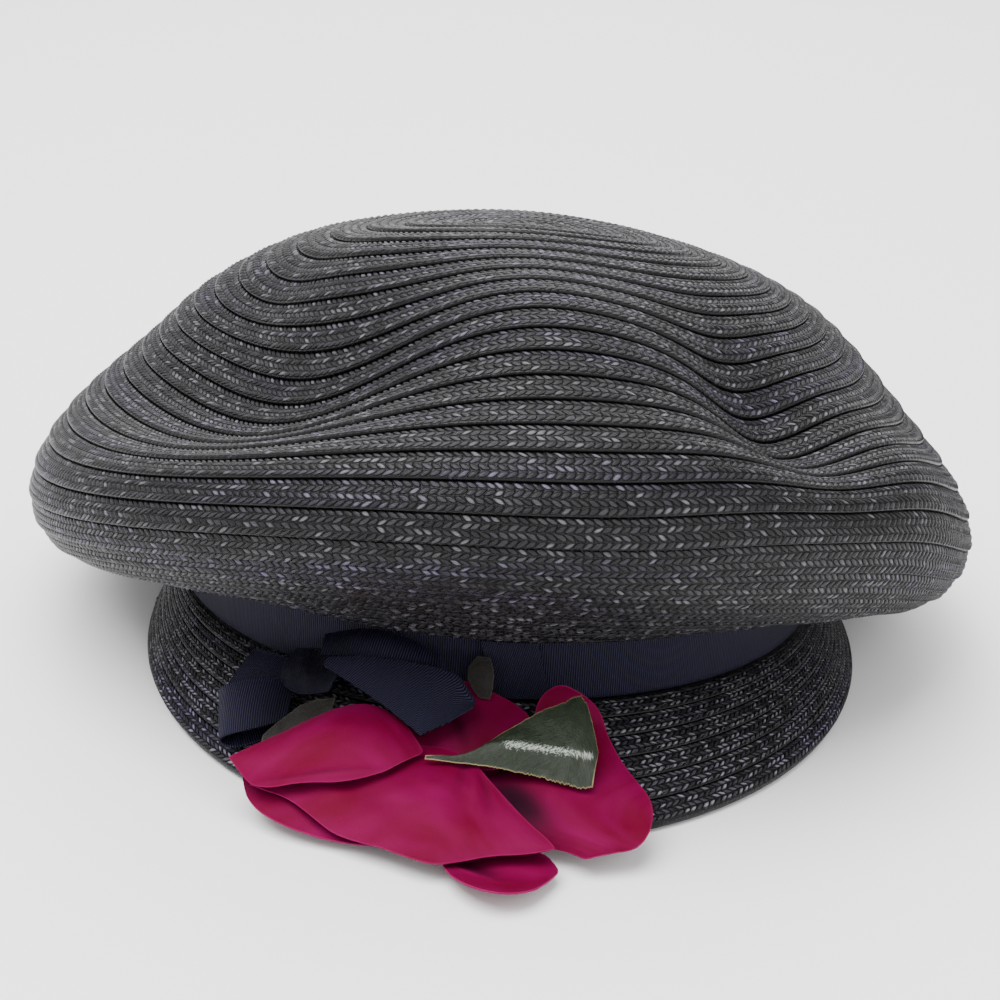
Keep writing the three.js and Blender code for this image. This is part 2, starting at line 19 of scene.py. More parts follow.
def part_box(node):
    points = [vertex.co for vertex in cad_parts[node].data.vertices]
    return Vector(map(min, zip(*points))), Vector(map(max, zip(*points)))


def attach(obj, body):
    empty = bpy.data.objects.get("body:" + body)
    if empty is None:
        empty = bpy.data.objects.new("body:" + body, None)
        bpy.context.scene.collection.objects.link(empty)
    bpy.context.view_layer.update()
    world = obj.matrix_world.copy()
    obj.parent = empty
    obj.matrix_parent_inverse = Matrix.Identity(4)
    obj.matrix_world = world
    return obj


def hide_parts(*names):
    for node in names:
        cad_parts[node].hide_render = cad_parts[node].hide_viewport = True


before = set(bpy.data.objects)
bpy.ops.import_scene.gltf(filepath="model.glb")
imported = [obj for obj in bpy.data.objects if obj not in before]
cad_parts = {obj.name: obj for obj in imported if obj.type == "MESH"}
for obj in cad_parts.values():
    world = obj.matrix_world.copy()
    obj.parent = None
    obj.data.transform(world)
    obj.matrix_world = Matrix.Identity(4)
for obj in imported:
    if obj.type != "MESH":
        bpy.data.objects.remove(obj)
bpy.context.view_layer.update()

LOG = logging.getLogger("cap")
MM = 0.001
FULL_TURN = 2 * math.pi
Array = np.ndarray
Curve = Callable[[Array], Array]
Surface = Callable[[Array, Array], Array]
Row = dict[str, float]
Pair = tuple[float, float]
Triple = tuple[float, float, float]
Socket = bpy.types.NodeSocket
Material = bpy.types.Material
Thing = bpy.types.Object


class Held(Enum):
    """How a sheet of cloth is held on the cap."""

    LAID = "laid"
    FOLDED = "folded"
    GATHERED = "gathered"
    STRETCHED = "stretched"


def table(columns: str, *rows: tuple[float, ...]) -> list[Row]:
    """Gives a table's rows as dictionaries by the names of its columns."""
    return [dict(zip(columns.split(), row)) for row in rows]


# Tables that the part's source gives as well, in millimetres and degrees.
CROWN_SECTIONS = table(
    "row side front back sideUp frontUp backUp",
    (0, 0, 0, 0, 100.3, 100.3, 100.3),
    (4, 37.5, 26.6, 31, 97.8, 103.5, 98.0),
    (8, 66.7, 56.4, 62, 87.2, 98.7, 88.0),
    (12, 84.9, 86.8, 92, 67.7, 90.4, 72.0),
    (15, 104.2, 106.8, 113, 53.6, 80.7, 55.0),
    (17.5, 119.0, 123.1, 128, 40.6, 70.4, 38.0),
    (20, 126.5, 127.7, 136, 21.9, 53.3, 19.5),
    (22.5, 117.3, 117.4, 130, 7.9, 37.2, 6.0),
    (26, 91.0, 93.0, 119.5, 19.0, 19.0, 19.0),
)
CROWN_FOLDS = table(
    "azimuth row wide rows lift push",
    (-1, 11.7, 25, 4.3, 10.3, 2.8),
    (-41, 12.7, 43, 4.4, -19.4, -9.3),
    (41, 15, 13, 4.1, -13, -5.4),
    (-110, 11.2, 28, 6, -2.5, 18),
    (101, 12.1, 31, 3.5, 7.7, 4.7),
    (-19, 16.9, 28, 3.5, 1.6, 1.1),
    (44, 18.6, 23, 3.6, 11.7, 1.8),
    (-81, 8, 29, 2.4, -7, -2.5),
)
PEAK_SECTIONS = table(
    "azimuth reach rise",
    (-114, 1.5, 2.5),
    (-90, 4.5, 0.3),
    (-60, 14.8, 0),
    (-30, 27.3, 0),
    (0, 34, 0),
    (30, 29, 0),
    (60, 18.8, 0),
    (90, 8, 0.3),
    (114, 1.5, 2.5),
)


def natural_spline(xs: list[float], ys: list[float]) -> Curve:
    """Makes a natural cubic spline.

    Args:
        xs: Rising places along the curve.
        ys: Values there.

    Returns:
        A function that gives the curve's values at an array of places.
    """
    x = np.asarray(xs, float)
    y = np.asarray(ys, float)
    step = np.diff(x)
    size = len(x)
    system = np.eye(size)
    right = np.zeros(size)
    for i in range(1, size - 1):
        system[i, i - 1 : i + 2] = step[i - 1], 2 * (step[i - 1] + step[i]), step[i]
        right[i] = 6 * ((y[i + 1] - y[i]) / step[i] - (y[i] - y[i - 1]) / step[i - 1])
    bend = np.linalg.solve(system, right)

    def curve(at: Array) -> Array:
        """Gives the curve's values at the places in at.

        Args:
            at: Places along the curve.

        Returns:
            The values.
        """
        at = np.asarray(at, float)
        i = np.clip(np.searchsorted(x, at, side="left") - 1, 0, size - 2)
        a = (x[i + 1] - at) / step[i]
        b = (at - x[i]) / step[i]
        pull = ((a**3 - a) * bend[i] + (b**3 - b) * bend[i + 1]) * step[i] ** 2 / 6
        return a * y[i] + b * y[i + 1] + pull

    return curve


def spline_columns(rows: list[Row], key: str) -> dict[str, Curve]:
    """Makes a spline through every column of a table.

    Args:
        rows: A table's rows, with the same named columns.
        key: The column that the others are drawn against.

    Returns:
        The splines by column name.
    """
    xs = [row[key] for row in rows]
    names = [name for name in rows[0] if name != key]
    return {name: natural_spline(xs, [row[name] for row in rows]) for name in names}


def unit(vectors: Array) -> Array:
    """Gives the vectors at a length of one."""
    return vectors / np.maximum(np.linalg.norm(vectors, axis=-1, keepdims=True), 1e-12)


def even_turns(count: int) -> Array:
    """Gives evenly spaced turns right round, in radians."""
    return np.arange(count) * FULL_TURN / count


def run_along(path: Array) -> Array:
    """Gives how far along a path each of its points lies."""
    return np.concatenate([[0.0], np.cumsum(np.linalg.norm(np.diff(path, axis=0), axis=1))])


def plan_of(first: Array, second: Array) -> Array:
    """Pairs two flat coordinates, each spread over the whole grid."""
    return np.stack(np.broadcast_arrays(first, second), -1)


def turned(x: Array, y: Array, degrees: float) -> tuple[Array, Array]:
    """Gives two flat coordinates along axes turned by an angle.

    Args:
        x: First coordinate.
        y: Second coordinate.
        degrees: The angle of the new axes.

    Returns:
        The coordinates along the new axes.
    """
    turn = math.radians(degrees)
    return x * math.cos(turn) + y * math.sin(turn), y * math.cos(turn) - x * math.sin(turn)


def put(name: str, data: bpy.types.ID) -> Thing:
    """Puts a new object in the scene.

    Args:
        name: Its name.
        data: Its mesh, camera or light.

    Returns:
        The object.
    """
    thing = bpy.data.objects.new(name, data)
    bpy.context.scene.collection.objects.link(thing)
    return thing


def normals_of(surface: Surface, u: Array, v: Array) -> Array:
    """Gives the unit normals of a surface by small steps along u and v.

    Args:
        surface: The surface.
        u: First coordinates on it.
        v: Second coordinates.

    Returns:
        A normal for each pair.
    """
    step = 0.01
    along_u = surface(u + step, v) - surface(u - step, v)
    along_v = surface(u, v + step) - surface(u, v - step)
    return unit(np.cross(along_u, along_v))


def ripple(x: Array, y: Array, seed: int, size: float) -> Array:
    """Gives a smooth, repeatable uneven height.

    Args:
        x: First coordinate in millimetres.
        y: Second coordinate in millimetres.
        seed: Picks one pattern.
        size: Length of its largest wave in millimetres.

    Returns:
        Heights of about -1 to 1.
    """
    rng = np.random.default_rng(seed)
    total = np.zeros(np.broadcast(x, y).shape)
    for octave in range(3):
        for _ in range(4):
            turn = rng.uniform(0, FULL_TURN)
            wave = FULL_TURN * rng.uniform(0.7, 1.4) * 1.8**octave / size
            phase = rng.uniform(0, FULL_TURN)
            along = x * math.cos(turn) + y * math.sin(turn)
            total += np.sin(wave * along + phase) / 2**octave
    return total / 5.0


@dataclass(frozen=True)
class CapShape:
    """The cap's main surfaces, in its own frame, where z = 0 is the lower edge of the opening."""

    half_width: float = 85.0
    half_depth: float = 99.0
    back: float = 15.0
    stand_height: float = 19.0
    wall: float = 2.0
    gap: float = 0.3
    tilt: float = 5.5
    lean: float = 1.15
    rows: int = 26
    row_width: float = 7.9
    lap: float = 0.8
    lap_width: float = 0.6
    segments: int = 52
    flange: float = 3.4
    bend: float = 1.2
    sections: dict[str, Curve] = field(default_factory=lambda: spline_columns(CROWN_SECTIONS, "row"))
    brim: dict[str, Curve] = field(default_factory=lambda: spline_columns(PEAK_SECTIONS, "azimuth"))

    def table_height(self, x: Array, y: Array) -> Array:
        """Gives the height of the table under the cap, in the cap's own frame."""
        y = y - (self.back + self.half_depth + self.wall)
        return math.tan(math.radians(self.tilt)) * y + math.tan(math.radians(self.lean)) * x

    def crown(self, row: Array, turn: Array) -> Array:
        """Gives points of the crown.

        Args:
            row: Rows of braid from the centre.
            turn: Azimuths from the front, in radians.

        Returns:
            The points, one for each pair.
        """
        row, turn = np.broadcast_arrays(np.asarray(row, float), np.asarray(turn, float))
        ahead = np.cos(turn)
        beside = np.sin(turn)
        col = {name: curve(row) for name, curve in self.sections.items()}
        reach = np.where(ahead > 0, col["front"], col["back"])
        side = col["sideUp"]
        half = (col["frontUp"] - col["backUp"]) / 2
        mean = (col["frontUp"] + col["backUp"]) / 2
        x = col["side"] * beside
        y = -reach * ahead
        z = side + half * ahead + (mean - side) * ahead**2
        for fold in CROWN_FOLDS:
            off = turn - math.radians(fold["azimuth"])
            off = np.arctan2(np.sin(off), np.cos(off)) / math.radians(fold["wide"])
            share = np.exp(-(off**2) - ((row - fold["row"]) / fold["rows"]) ** 2)
            x = x + fold["push"] * share * beside
            y = y - fold["push"] * share * ahead
            z = z + fold["lift"] * share
        return np.stack([x, y, z], -1)

    def stand(self, turn: Array, out: float, z: Array) -> Array:
        """Gives points on an ellipse a distance out from the inside of the stand.

        Args:
            turn: Azimuths from the front, in radians.
            out: The distance out.
            z: Heights.

        Returns:
            The points.
        """
        turn, z = np.broadcast_arrays(np.asarray(turn, float), np.asarray(z, float))
        x = (self.half_width + out) * np.sin(turn)
        y = self.back - (self.half_depth + out) * np.cos(turn)
        return np.stack([x, y, z], -1)

    def peak(self, share: Array, turn: Array) -> Array:
        """Gives points of the peak, share 0 at its root and 1 at its outer edge.

        Args:
            share: Shares of the way out.
            turn: Azimuths from the front, in radians.

        Returns:
            The points.
        """
        share, turn = np.broadcast_arrays(np.asarray(share, float), np.asarray(turn, float))
        degrees = np.degrees(turn)
        root = self.stand(turn, self.flange, -self.gap)
        out = np.sin(turn) / self.half_width, -np.cos(turn) / self.half_depth, np.zeros_like(turn)
        edge = root + unit(np.stack(out, -1)) * self.brim["reach"](degrees)[..., None]
        low = self.table_height(edge[..., 0], edge[..., 1])
        low = low + self.wall + self.brim["rise"](degrees)
        point = root + (edge - root) * share[..., None]
        drop = (low - root[..., 2]) * np.maximum(share, 0) ** self.bend
        point[..., 2] = root[..., 2] + drop
        return point

    def rest_turn(self) -> Array:
        """Gives the rotation that lays the cap on the table.

        Returns:
            The rotation, as a matrix.
        """
        up = Vector((-math.tan(math.radians(self.lean)), -math.tan(math.radians(self.tilt)), 1))
        return np.array(up.normalized().rotation_difference(Vector((0, 0, 1))).to_matrix())

    def rest_shift(self) -> Array:
        """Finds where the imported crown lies, from the box of the same points in its source.

        Returns:
            The shift in millimetres, after the rotation.
        """
        turns = even_turns(self.segments)
        rings = []
        for row in range(1, self.rows + 1):
            raised = np.full_like(turns, row - self.lap_width / self.row_width)
            rings.append(self.crown(raised, turns) + self.lap * normals_of(self.crown, raised, turns))
            rings.append(self.crown(np.full_like(turns, row), turns))
        points = np.concatenate(rings) @ self.rest_turn().T
        low, high = (np.array(corner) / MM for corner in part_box("crown"))
        middle = (points.min(0) + points.max(0)) / 2
        shift = (low + high) / 2 - middle
        shift[2] = high[2] - points[:, 2].max()
        return shift


SHAPE = CapShape()
REST_TURN = SHAPE.rest_turn()
REST_SHIFT = SHAPE.rest_shift()


def at_rest(points: Array) -> Array:
    """Takes points of the cap's own frame in millimetres to the table, in metres."""
    return (points @ REST_TURN.T + REST_SHIFT) * MM


def grid_faces(rows: int, cols: int, closed: bool = False) -> Array:
    """Gives the quads of a grid of points.

    Args:
        rows: Points along the first direction.
        cols: Points along the second direction.
        closed: Whether the second direction runs round and meets itself.

    Returns:
        Corner indices, four to a quad.
    """
    i = np.arange(rows - 1)[:, None]
    j = np.arange(cols if closed else cols - 1)[None, :]
    here, after, right = i * cols, (i + 1) * cols, (j + 1) % cols
    return np.stack([here + j, after + j, after + right, here + right], -1).reshape(-1, 4)


@dataclass
class MeshParts:
    """Points, quads and point values that are gathered into one mesh."""

    points: list[Array] = field(default_factory=list)
    faces: list[Array] = field(default_factory=list)
    plan: list[Array] = field(default_factory=list)
    tone: list[Array] = field(default_factory=list)
    count: int = 0

    def add(self, points: Array, faces: Array, plan: Array, tone: Array | float = 0.5) -> None:
        """Adds a patch.

        Args:
            points: Its points in millimetres, in the cap's own frame.
            faces: Its quads, outside up.
            plan: A flat coordinate in millimetres for each point.
            tone: How light each point is painted, from 0 to 1; low tones paint shade, and on cloth
                high tones paint the pale hem and highlights.
        """
        flat = points.reshape(-1, 3)
        self.points.append(flat)
        self.faces.append(faces + self.count)
        self.plan.append(plan.reshape(-1, 2))
        self.tone.append(np.broadcast_to(tone, points.shape[:-1]).ravel())
        self.count += len(flat)

    def piece(self, name: str, node: str, material: Material, slot: str) -> Thing:
        """Makes the gathered patches into a smooth piece that rides on the cap.

        Args:
            name: The piece's name.
            node: The part's node that it replaces.
            material: What it is made of.
            slot: The record's material slot, which is not used.

        Returns:
            The new object.
        """
        points = at_rest(np.concatenate(self.points))
        faces = np.concatenate(self.faces)
        plan = np.concatenate(self.plan)
        mesh = bpy.data.meshes.new(name)
        mesh.vertices.add(len(points))
        mesh.vertices.foreach_set("co", points.astype(np.float32).ravel())
        mesh.loops.add(faces.size)
        mesh.loops.foreach_set("vertex_index", faces.astype(np.int32).ravel())
        mesh.polygons.add(len(faces))
        mesh.polygons.foreach_set("loop_start", np.arange(0, faces.size, 4, dtype=np.int32))
        mesh.update(calc_edges=True)
        mesh.polygons.foreach_set("use_smooth", np.ones(len(faces), bool))
        layer = mesh.uv_layers.new(name="plan")
        layer.data.foreach_set("uv", plan[faces.ravel()].astype(np.float32).ravel())
        tone = mesh.attributes.new("tone", "FLOAT", "POINT")
        tone.data.foreach_set("value", np.concatenate(self.tone).astype(np.float32))
        mesh.validate()
        mesh.materials.append(material)
        thing = put(name, mesh)
        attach(thing, "root")
        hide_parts(node)
        LOG.info("%s: %d points, %d quads", name, len(points), len(faces))
        return thing


class NodeSheet:
    """Adds and links the nodes of one material."""

    def __init__(self, name: str) -> None:
        """Starts an empty material with a surface shader.

        Args:
            name: The material's name.
        """
        self.material = bpy.data.materials.new(name)
        self.material.use_nodes = True
        self.tree = self.material.node_tree
        self.tree.nodes.clear()
        self.shader = self.tree.nodes.new("ShaderNodeBsdfPrincipled")
        output = self.tree.nodes.new("ShaderNodeOutputMaterial")
        self.tree.links.new(self.shader.outputs["BSDF"], output.inputs["Surface"])

    def node(self, kind: str, options: dict | None = None, **inputs: object) -> bpy.types.Node:
        """Adds a node.

        Args:
            kind: Its Blender type, without the ShaderNode at the front.
            options: Properties of the node itself.
            **inputs: Sockets by name, with _ for a blank, as values or as sockets to link.

        Returns:
            The node.
        """
        made = self.tree.nodes.new(f"ShaderNode{kind}")
        for key, value in (options or {}).items():
            setattr(made, key, value)
        for key, value in inputs.items():
            by_number = key[0] == "n" and key[1:].isdigit()
            self.set(made.inputs[int(key[1:]) if by_number else key.replace("_", " ")], value)
        return made

    def set(self, socket: Socket, value: object) -> None:
        """Gives a socket a value, or links another socket to it.

        Args:
            socket: The socket.
            value: Its value, or the socket to link.
        """
        if isinstance(value, Socket):
            self.tree.links.new(value, socket)
        else:
            socket.default_value = value

    def math(self, how: str, *values: object) -> Socket:
        """Adds a Math node.

        Args:
            how: Its operation.
            *values: Its values, or sockets to link.

        Returns:
            Its result.
        """
        made = self.node("Math", {"operation": how})
        for socket, value in zip(made.inputs, values):
            self.set(socket, value)
        return made.outputs[0]

    def line(self, value: Socket, slope: float, start: float) -> Socket:
        """Gives slope times a value, plus start."""
        return self.math("MULTIPLY_ADD", value, slope, start)

    def swell(self, run: Socket) -> Socket:
        """Gives 1 in the middle of each whole step of a run, and 0 at its ends."""
        off = self.math("SUBTRACT", self.math("FRACT", run), 0.5)
        return self.line(self.math("MULTIPLY", off, off), -4.0, 1.0)

    def plan(self) -> Socket:
        """Gives the piece's flat coordinate."""
        return self.node("UVMap", {"uv_map": "plan"}).outputs[0]

    def tone(self) -> Socket:
        """Gives the tone of the piece's points."""
        return self.node("Attribute", {"attribute_name": "tone"}).outputs["Fac"]

    def noise(self, vector: Socket, waves: Triple, detail: float = 2.0) -> Socket:
        """Adds noise.

        Args:
            vector: The coordinate that it varies over.
            waves: How many waves it has in a millimetre, along each axis.
            detail: How many finer layers it has.

        Returns:
            Its value.
        """
        stretched = self.node("VectorMath", {"operation": "MULTIPLY"}, n0=vector, n1=waves)
        return self.node("TexNoise", n0=stretched.outputs[0], Scale=1.0, Detail=detail).outputs[0]

    def ramp(self, value: Socket, stops: list[tuple[float, Triple]]) -> Socket:
        """Colours a value.

        Args:
            value: What is coloured.
            stops: Places from 0 to 1, each with its colour.

        Returns:
            The colour.
        """
        made = self.node("ValToRGB", n0=value)
        ramp = made.color_ramp
        while len(ramp.elements) < len(stops):
            ramp.elements.new(1.0)
        for element, (place, colour) in zip(ramp.elements, stops):
            element.position = place
            element.color = (*colour, 1.0)
        return made.outputs[0]

    def mix(self, share: object, first: object, second: object, blend: str = "MIX") -> Socket:
        """Mixes two colours.

        Args:
            share: How much of the second there is.
            first: A colour or a socket.
            second: A colour or a socket.
            blend: How they mix.

        Returns:
            The mixed colour.
        """
        made = self.tree.nodes.new("ShaderNodeMix")
        made.data_type = "RGBA"
        made.blend_type = blend
        self.set(made.inputs[0], share)
        for socket, value in ((made.inputs[6], first), (made.inputs[7], second)):
            if isinstance(value, tuple):
                value = (*value, 1.0)
            self.set(socket, value)
        return made.outputs[2]

    def spread(self, value: Socket, low: float, high: float) -> Socket:
        """Spreads the values from low to high smoothly over 0 to 1."""
        smooth = {"interpolation_type": "SMOOTHSTEP"}
        return self.node("MapRange", smooth, n0=value, From_Min=low, From_Max=high).outputs[0]

    def bump(self, height: Socket, depth: float, before: Socket | None = None) -> Socket:
        """Adds a bump.

        Args:
            height: Its shape, from 0 to 1.
            depth: Its height in metres.
            before: The normal of a bump under it.

        Returns:
            The normal.
        """
        made = self.node("Bump", Height=height, Distance=depth, Strength=1.0)
        if before is not None:
            self.set(made.inputs["Normal"], before)
        return made.outputs[0]

    def surface(self, **inputs: object) -> None:
        """Sets sockets of the surface shader, with _ for a blank."""
        for key, value in inputs.items():
            self.set(self.shader.inputs[key.replace("_", " ")], value)


@dataclass(frozen=True)
class StrawFinish:
    """Dark plaited straw: each stitch has its own tone, a few carry a painted glint, and painted
    shade darkens the grooves and laps.
    """

    name: str = "plaited_straw"
    # The gap colour paints shade into the grooves between stitches and at the laps, and also darkens
    # some fibres.
    gap: Triple = (0.0004, 0.0004, 0.0006)
    dull: Triple = (0.006, 0.0054, 0.007)
    body: Triple = (0.0166, 0.0151, 0.0188)
    wear_and_highlight: Triple = (0.041, 0.0375, 0.045)
    painted_glint: Triple = (0.17, 0.163, 0.183)
    blue: Triple = (0.88, 0.82, 1.25)
    shine: float = 0.0
    roughness: float = 0.4
    specular: float = 0.22
    depth: float = 0.0004
    uneven: float = 0.5
    strand_edge: Pair = (0.12, 0.55)
    painted_glint_chance: Pair = (0.74, 0.98)
    painted_glint_middle: Pair = (0.5, 0.92)
    dyed: Pair = (0.48, 0.66)
    dye_share: float = 0.8
    fibre_dark: float = 0.75
    fibre_height: float = 0.3
    along_waves: Triple = (0.9, 0.8, 1.0)
    across_waves: Triple = (0.7, 1.3, 1.0)
    patch_waves: Triple = (0.07, 0.3, 1.0)
    fibre_waves: Triple = (1.6, 9.0, 1.0)
    dye_waves: Triple = (0.02, 0.12, 1.0)

    def make(self) -> Material:
        """Builds the material from the stitch number and the lane in the plan coordinate.

        Returns:
            The material.
        """
        sheet = NodeSheet(self.name)
        place = sheet.plan()
        runs = []
        apart = sheet.node("SeparateXYZ", n0=place).outputs
        for run, waves in zip(apart, (self.along_waves, self.across_waves)):
            sway = sheet.line(sheet.noise(place, waves), self.uneven, -self.uneven / 2)
            runs.append(sheet.math("ADD", run, sway))
        strand = sheet.math("MULTIPLY", *(sheet.swell(run) for run in runs))
        body = sheet.spread(strand, *self.strand_edge)
        along, across = (sheet.math("FLOOR", run) for run in runs)
        cell = sheet.node("CombineXYZ", n0=along, n1=across)
        chance = sheet.node("TexWhiteNoise", Vector=cell.outputs[0]).outputs[0]
        patch = sheet.noise(place, self.patch_waves, 3.0)
        patch = sheet.line(patch, self.uneven, self.shine - self.uneven / 2)
        chance = sheet.math("ADD", chance, patch)
        colour = sheet.ramp(chance, [(0.0, self.dull), (0.35, self.body), (0.8, self.wear_and_highlight)])
        # Painted glint: the pale glint colour is mixed onto the middles of a few random stitches.
        painted_glint_share = sheet.spread(chance, *self.painted_glint_chance)
        painted_glint_share = sheet.math("MULTIPLY", painted_glint_share, sheet.spread(strand, *self.painted_glint_middle))
        colour = sheet.mix(painted_glint_share, colour, self.painted_glint)
        fibre = sheet.noise(place, self.fibre_waves)
        dark = sheet.mix(self.fibre_dark, colour, self.gap)
        colour = sheet.mix(sheet.line(fibre, 1.1, -0.2), dark, colour)
        # Painted shade: the colour goes to the gap colour at the edges of each stitch and where the
        # tone is low at the laps.
        colour = sheet.mix(sheet.math("MULTIPLY", body, sheet.tone()), self.gap, colour)
        dye = sheet.noise(place, self.dye_waves)
        dyed = sheet.math("MULTIPLY", sheet.spread(dye, *self.dyed), self.dye_share)
        colour = sheet.mix(dyed, colour, sheet.mix(1.0, colour, self.blue, "MULTIPLY"))
        height = sheet.math("ADD", body, sheet.math("MULTIPLY", fibre, self.fibre_height))
        sheet.surface(
            Base_Color=colour,
            Roughness=sheet.line(fibre, 0.25, self.roughness - 0.12),
            Normal=sheet.bump(height, self.depth),
            Specular_IOR_Level=self.specular,
        )
        return sheet.material


@dataclass(frozen=True)
class GrosgrainFinish:
    """Navy ribbon with fine ribs across its length."""

    name: str = "navy_grosgrain"
    colour: Triple = (0.0012, 0.0012, 0.0032)
    # The paler colour is a painted highlight on the rib tops.
    wear_and_highlight: Triple = (0.037, 0.034, 0.082)
    rib: float = 0.62
    roughness: float = 0.6
    specular: float = 0.1
    wobble: float = 1.2
    rib_depth: float = 0.0003
    fuzz_depth: float = 0.00008
    wobble_waves: Triple = (0.6, 0.25, 1.0)
    fuzz_waves: Triple = (7.0, 2.5, 1.0)

    def make(self) -> Material:
        """Builds the material: round ribs with a painted highlight on their tops, painted shade where
        the tone is low, and a slight unevenness.

        Returns:
            The material.
        """
        sheet = NodeSheet(self.name)
        place = sheet.plan()
        along = sheet.node("SeparateXYZ", n0=place).outputs[0]
        wobble = sheet.math("MULTIPLY", sheet.noise(place, self.wobble_waves), self.wobble)
        turn = sheet.math("MULTIPLY", along, FULL_TURN / self.rib)
        rib = sheet.line(sheet.math("SINE", sheet.math("ADD", turn, wobble)), 0.5, 0.5)
        fuzz = sheet.noise(place, self.fuzz_waves)
        # Painted highlight on the rib tops, and painted shade where the tone is below 0.5.
        share = sheet.math("MULTIPLY", rib, sheet.line(fuzz, 0.8, 0.1))
        share = sheet.math("MULTIPLY", share, sheet.math("MULTIPLY", sheet.tone(), 2.0))
        ribs = sheet.bump(rib, self.rib_depth)
        sheet.surface(
            Base_Color=sheet.mix(share, self.colour, self.wear_and_highlight),
            Roughness=self.roughness,
            Normal=sheet.bump(fuzz, self.fuzz_depth, ribs),
            Specular_IOR_Level=self.specular,
        )
        return sheet.material


@dataclass(frozen=True)
class SilkFinish:
    """Magenta silk: pale at its rolled hem, partly a painted sheen line, and deep where the tone
    paints shade into hollows.
    """

    name: str = "magenta_silk"
    colour: Triple = (0.125, 0.0003, 0.029)
    deep: Triple = (0.014, 0.0004, 0.006)
    crimson: Triple = (0.105, 0.0002, 0.016)
    bright: Triple = (0.15, 0.0004, 0.043)
    hem: Triple = (0.26, 0.006, 0.085)
    roughness: float = 0.55
    specular: float = 0.05
    sheen: float = 0.04
    sheen_roughness: float = 0.3
    sheen_tint: Triple = (1.0, 0.2, 0.55)
    grain_dark: float = 0.35
    weave_depth: float = 0.00006
    cloud_waves: Triple = (0.05, 0.09, 1.0)
    grain_waves: Triple = (3.2, 3.2, 1.0)
    weave_waves: Triple = (5.5, 5.5, 1.0)

    def make(self) -> Material:
        """Builds the material: cloudy dye, painted shade and the pale hem by tone, and a fine weave.

        Returns:
            The material.
        """
        sheet = NodeSheet(self.name)
        place, tone = sheet.plan(), sheet.tone()
        cloud = sheet.noise(place, self.cloud_waves)
        colour = sheet.ramp(cloud, [(0.32, self.crimson), (0.5, self.colour), (0.7, self.bright)])
        # Painted shade: below a tone of 0.5 the colour goes to the deep colour in hollows and
        # creases.
        colour = sheet.mix(sheet.spread(tone, 0.0, 0.5), self.deep, colour)
        # Above a tone of 0.5 the colour goes to the hem colour: the rolled hem, partly a painted
        # sheen line, and painted highlights on ridges.
        colour = sheet.mix(sheet.spread(tone, 0.5, 1.0), colour, self.hem)
        grain = sheet.line(sheet.noise(place, self.grain_waves), 0.9, -0.25)
        colour = sheet.mix(grain, colour, sheet.mix(self.grain_dark, colour, self.deep))
        weave = sheet.noise(place, self.weave_waves, 1.0)
        sheet.surface(
            Base_Color=colour,
            Roughness=self.roughness,
            Normal=sheet.bump(weave, self.weave_depth),
            Sheen_Weight=self.sheen,
            Sheen_Roughness=self.sheen_roughness,
            Sheen_Tint=(*self.sheen_tint, 1.0),
            Specular_IOR_Level=self.specular,
        )
        return sheet.material


@dataclass(frozen=True)
class LeafFinish:
    """Waxed cloth leaf: mottled dye, a painted highlight along the fold and a frayed, straw-coloured
    edge.
    """

    name: str
    deep: Triple
    light: Triple
    wear_and_highlight: Triple
    frayed: Triple
    roughness: float
    coat: float
    specular: float = 0.25
    coat_roughness: float = 0.2
    fold_highlight_tone: Pair = (0.76, 1.05)
    edge_tone: Pair = (0.0, 0.42)
    speck_depth: float = 0.0003
    mottle_waves: Triple = (0.5, 0.9, 1.0)
    speck_waves: Triple = (1.3, 2.2, 1.0)

    def make(self) -> Material:
        """Builds the material: tone 0.5 is the leaf, below it the edge, above it the painted
        highlight along the fold.

        Returns:
            The material.
        """
        sheet = NodeSheet(self.name)
        place, tone = sheet.plan(), sheet.tone()
        mottle = sheet.noise(place, self.mottle_waves, 4.0)
        colour = sheet.ramp(mottle, [(0.3, self.deep), (0.62, self.light)])
        speck = sheet.noise(place, self.speck_waves, 4.0)
        # Painted highlight: the pale colour along the fold, broken into flecks by the specks.
        flaked = sheet.math("ADD", tone, sheet.line(speck, 1.2, -0.6))
        fold = sheet.spread(flaked, *self.fold_highlight_tone)
        colour = sheet.mix(fold, colour, self.wear_and_highlight)
        colour = sheet.mix(sheet.spread(tone, *self.edge_tone), self.frayed, colour)
        sheet.surface(
            Base_Color=colour,
            Roughness=self.roughness,
            Normal=sheet.bump(speck, self.speck_depth),
            Specular_IOR_Level=self.specular,
            Coat_Weight=self.coat,
            Coat_Roughness=self.coat_roughness,
        )
        return sheet.material


@dataclass(frozen=True)
class PlainFinish:
    """A plain thread or edge with a little unevenness."""

    name: str
    colour: Triple
    other: Triple
    roughness: float = 0.7
    depth: float = 0.0001
    waves: Triple = (2.0, 2.0, 1.0)

    def make(self) -> Material:
        """Builds the material: two near colours mixed by fine noise.

        Returns:
            The material.
        """
        sheet = NodeSheet(self.name)
        grain = sheet.noise(sheet.plan(), self.waves)
        sheet.surface(
            Base_Color=sheet.mix(grain, self.colour, self.other),
            Roughness=self.roughness,
            Normal=sheet.bump(grain, self.depth),
        )
        return sheet.material


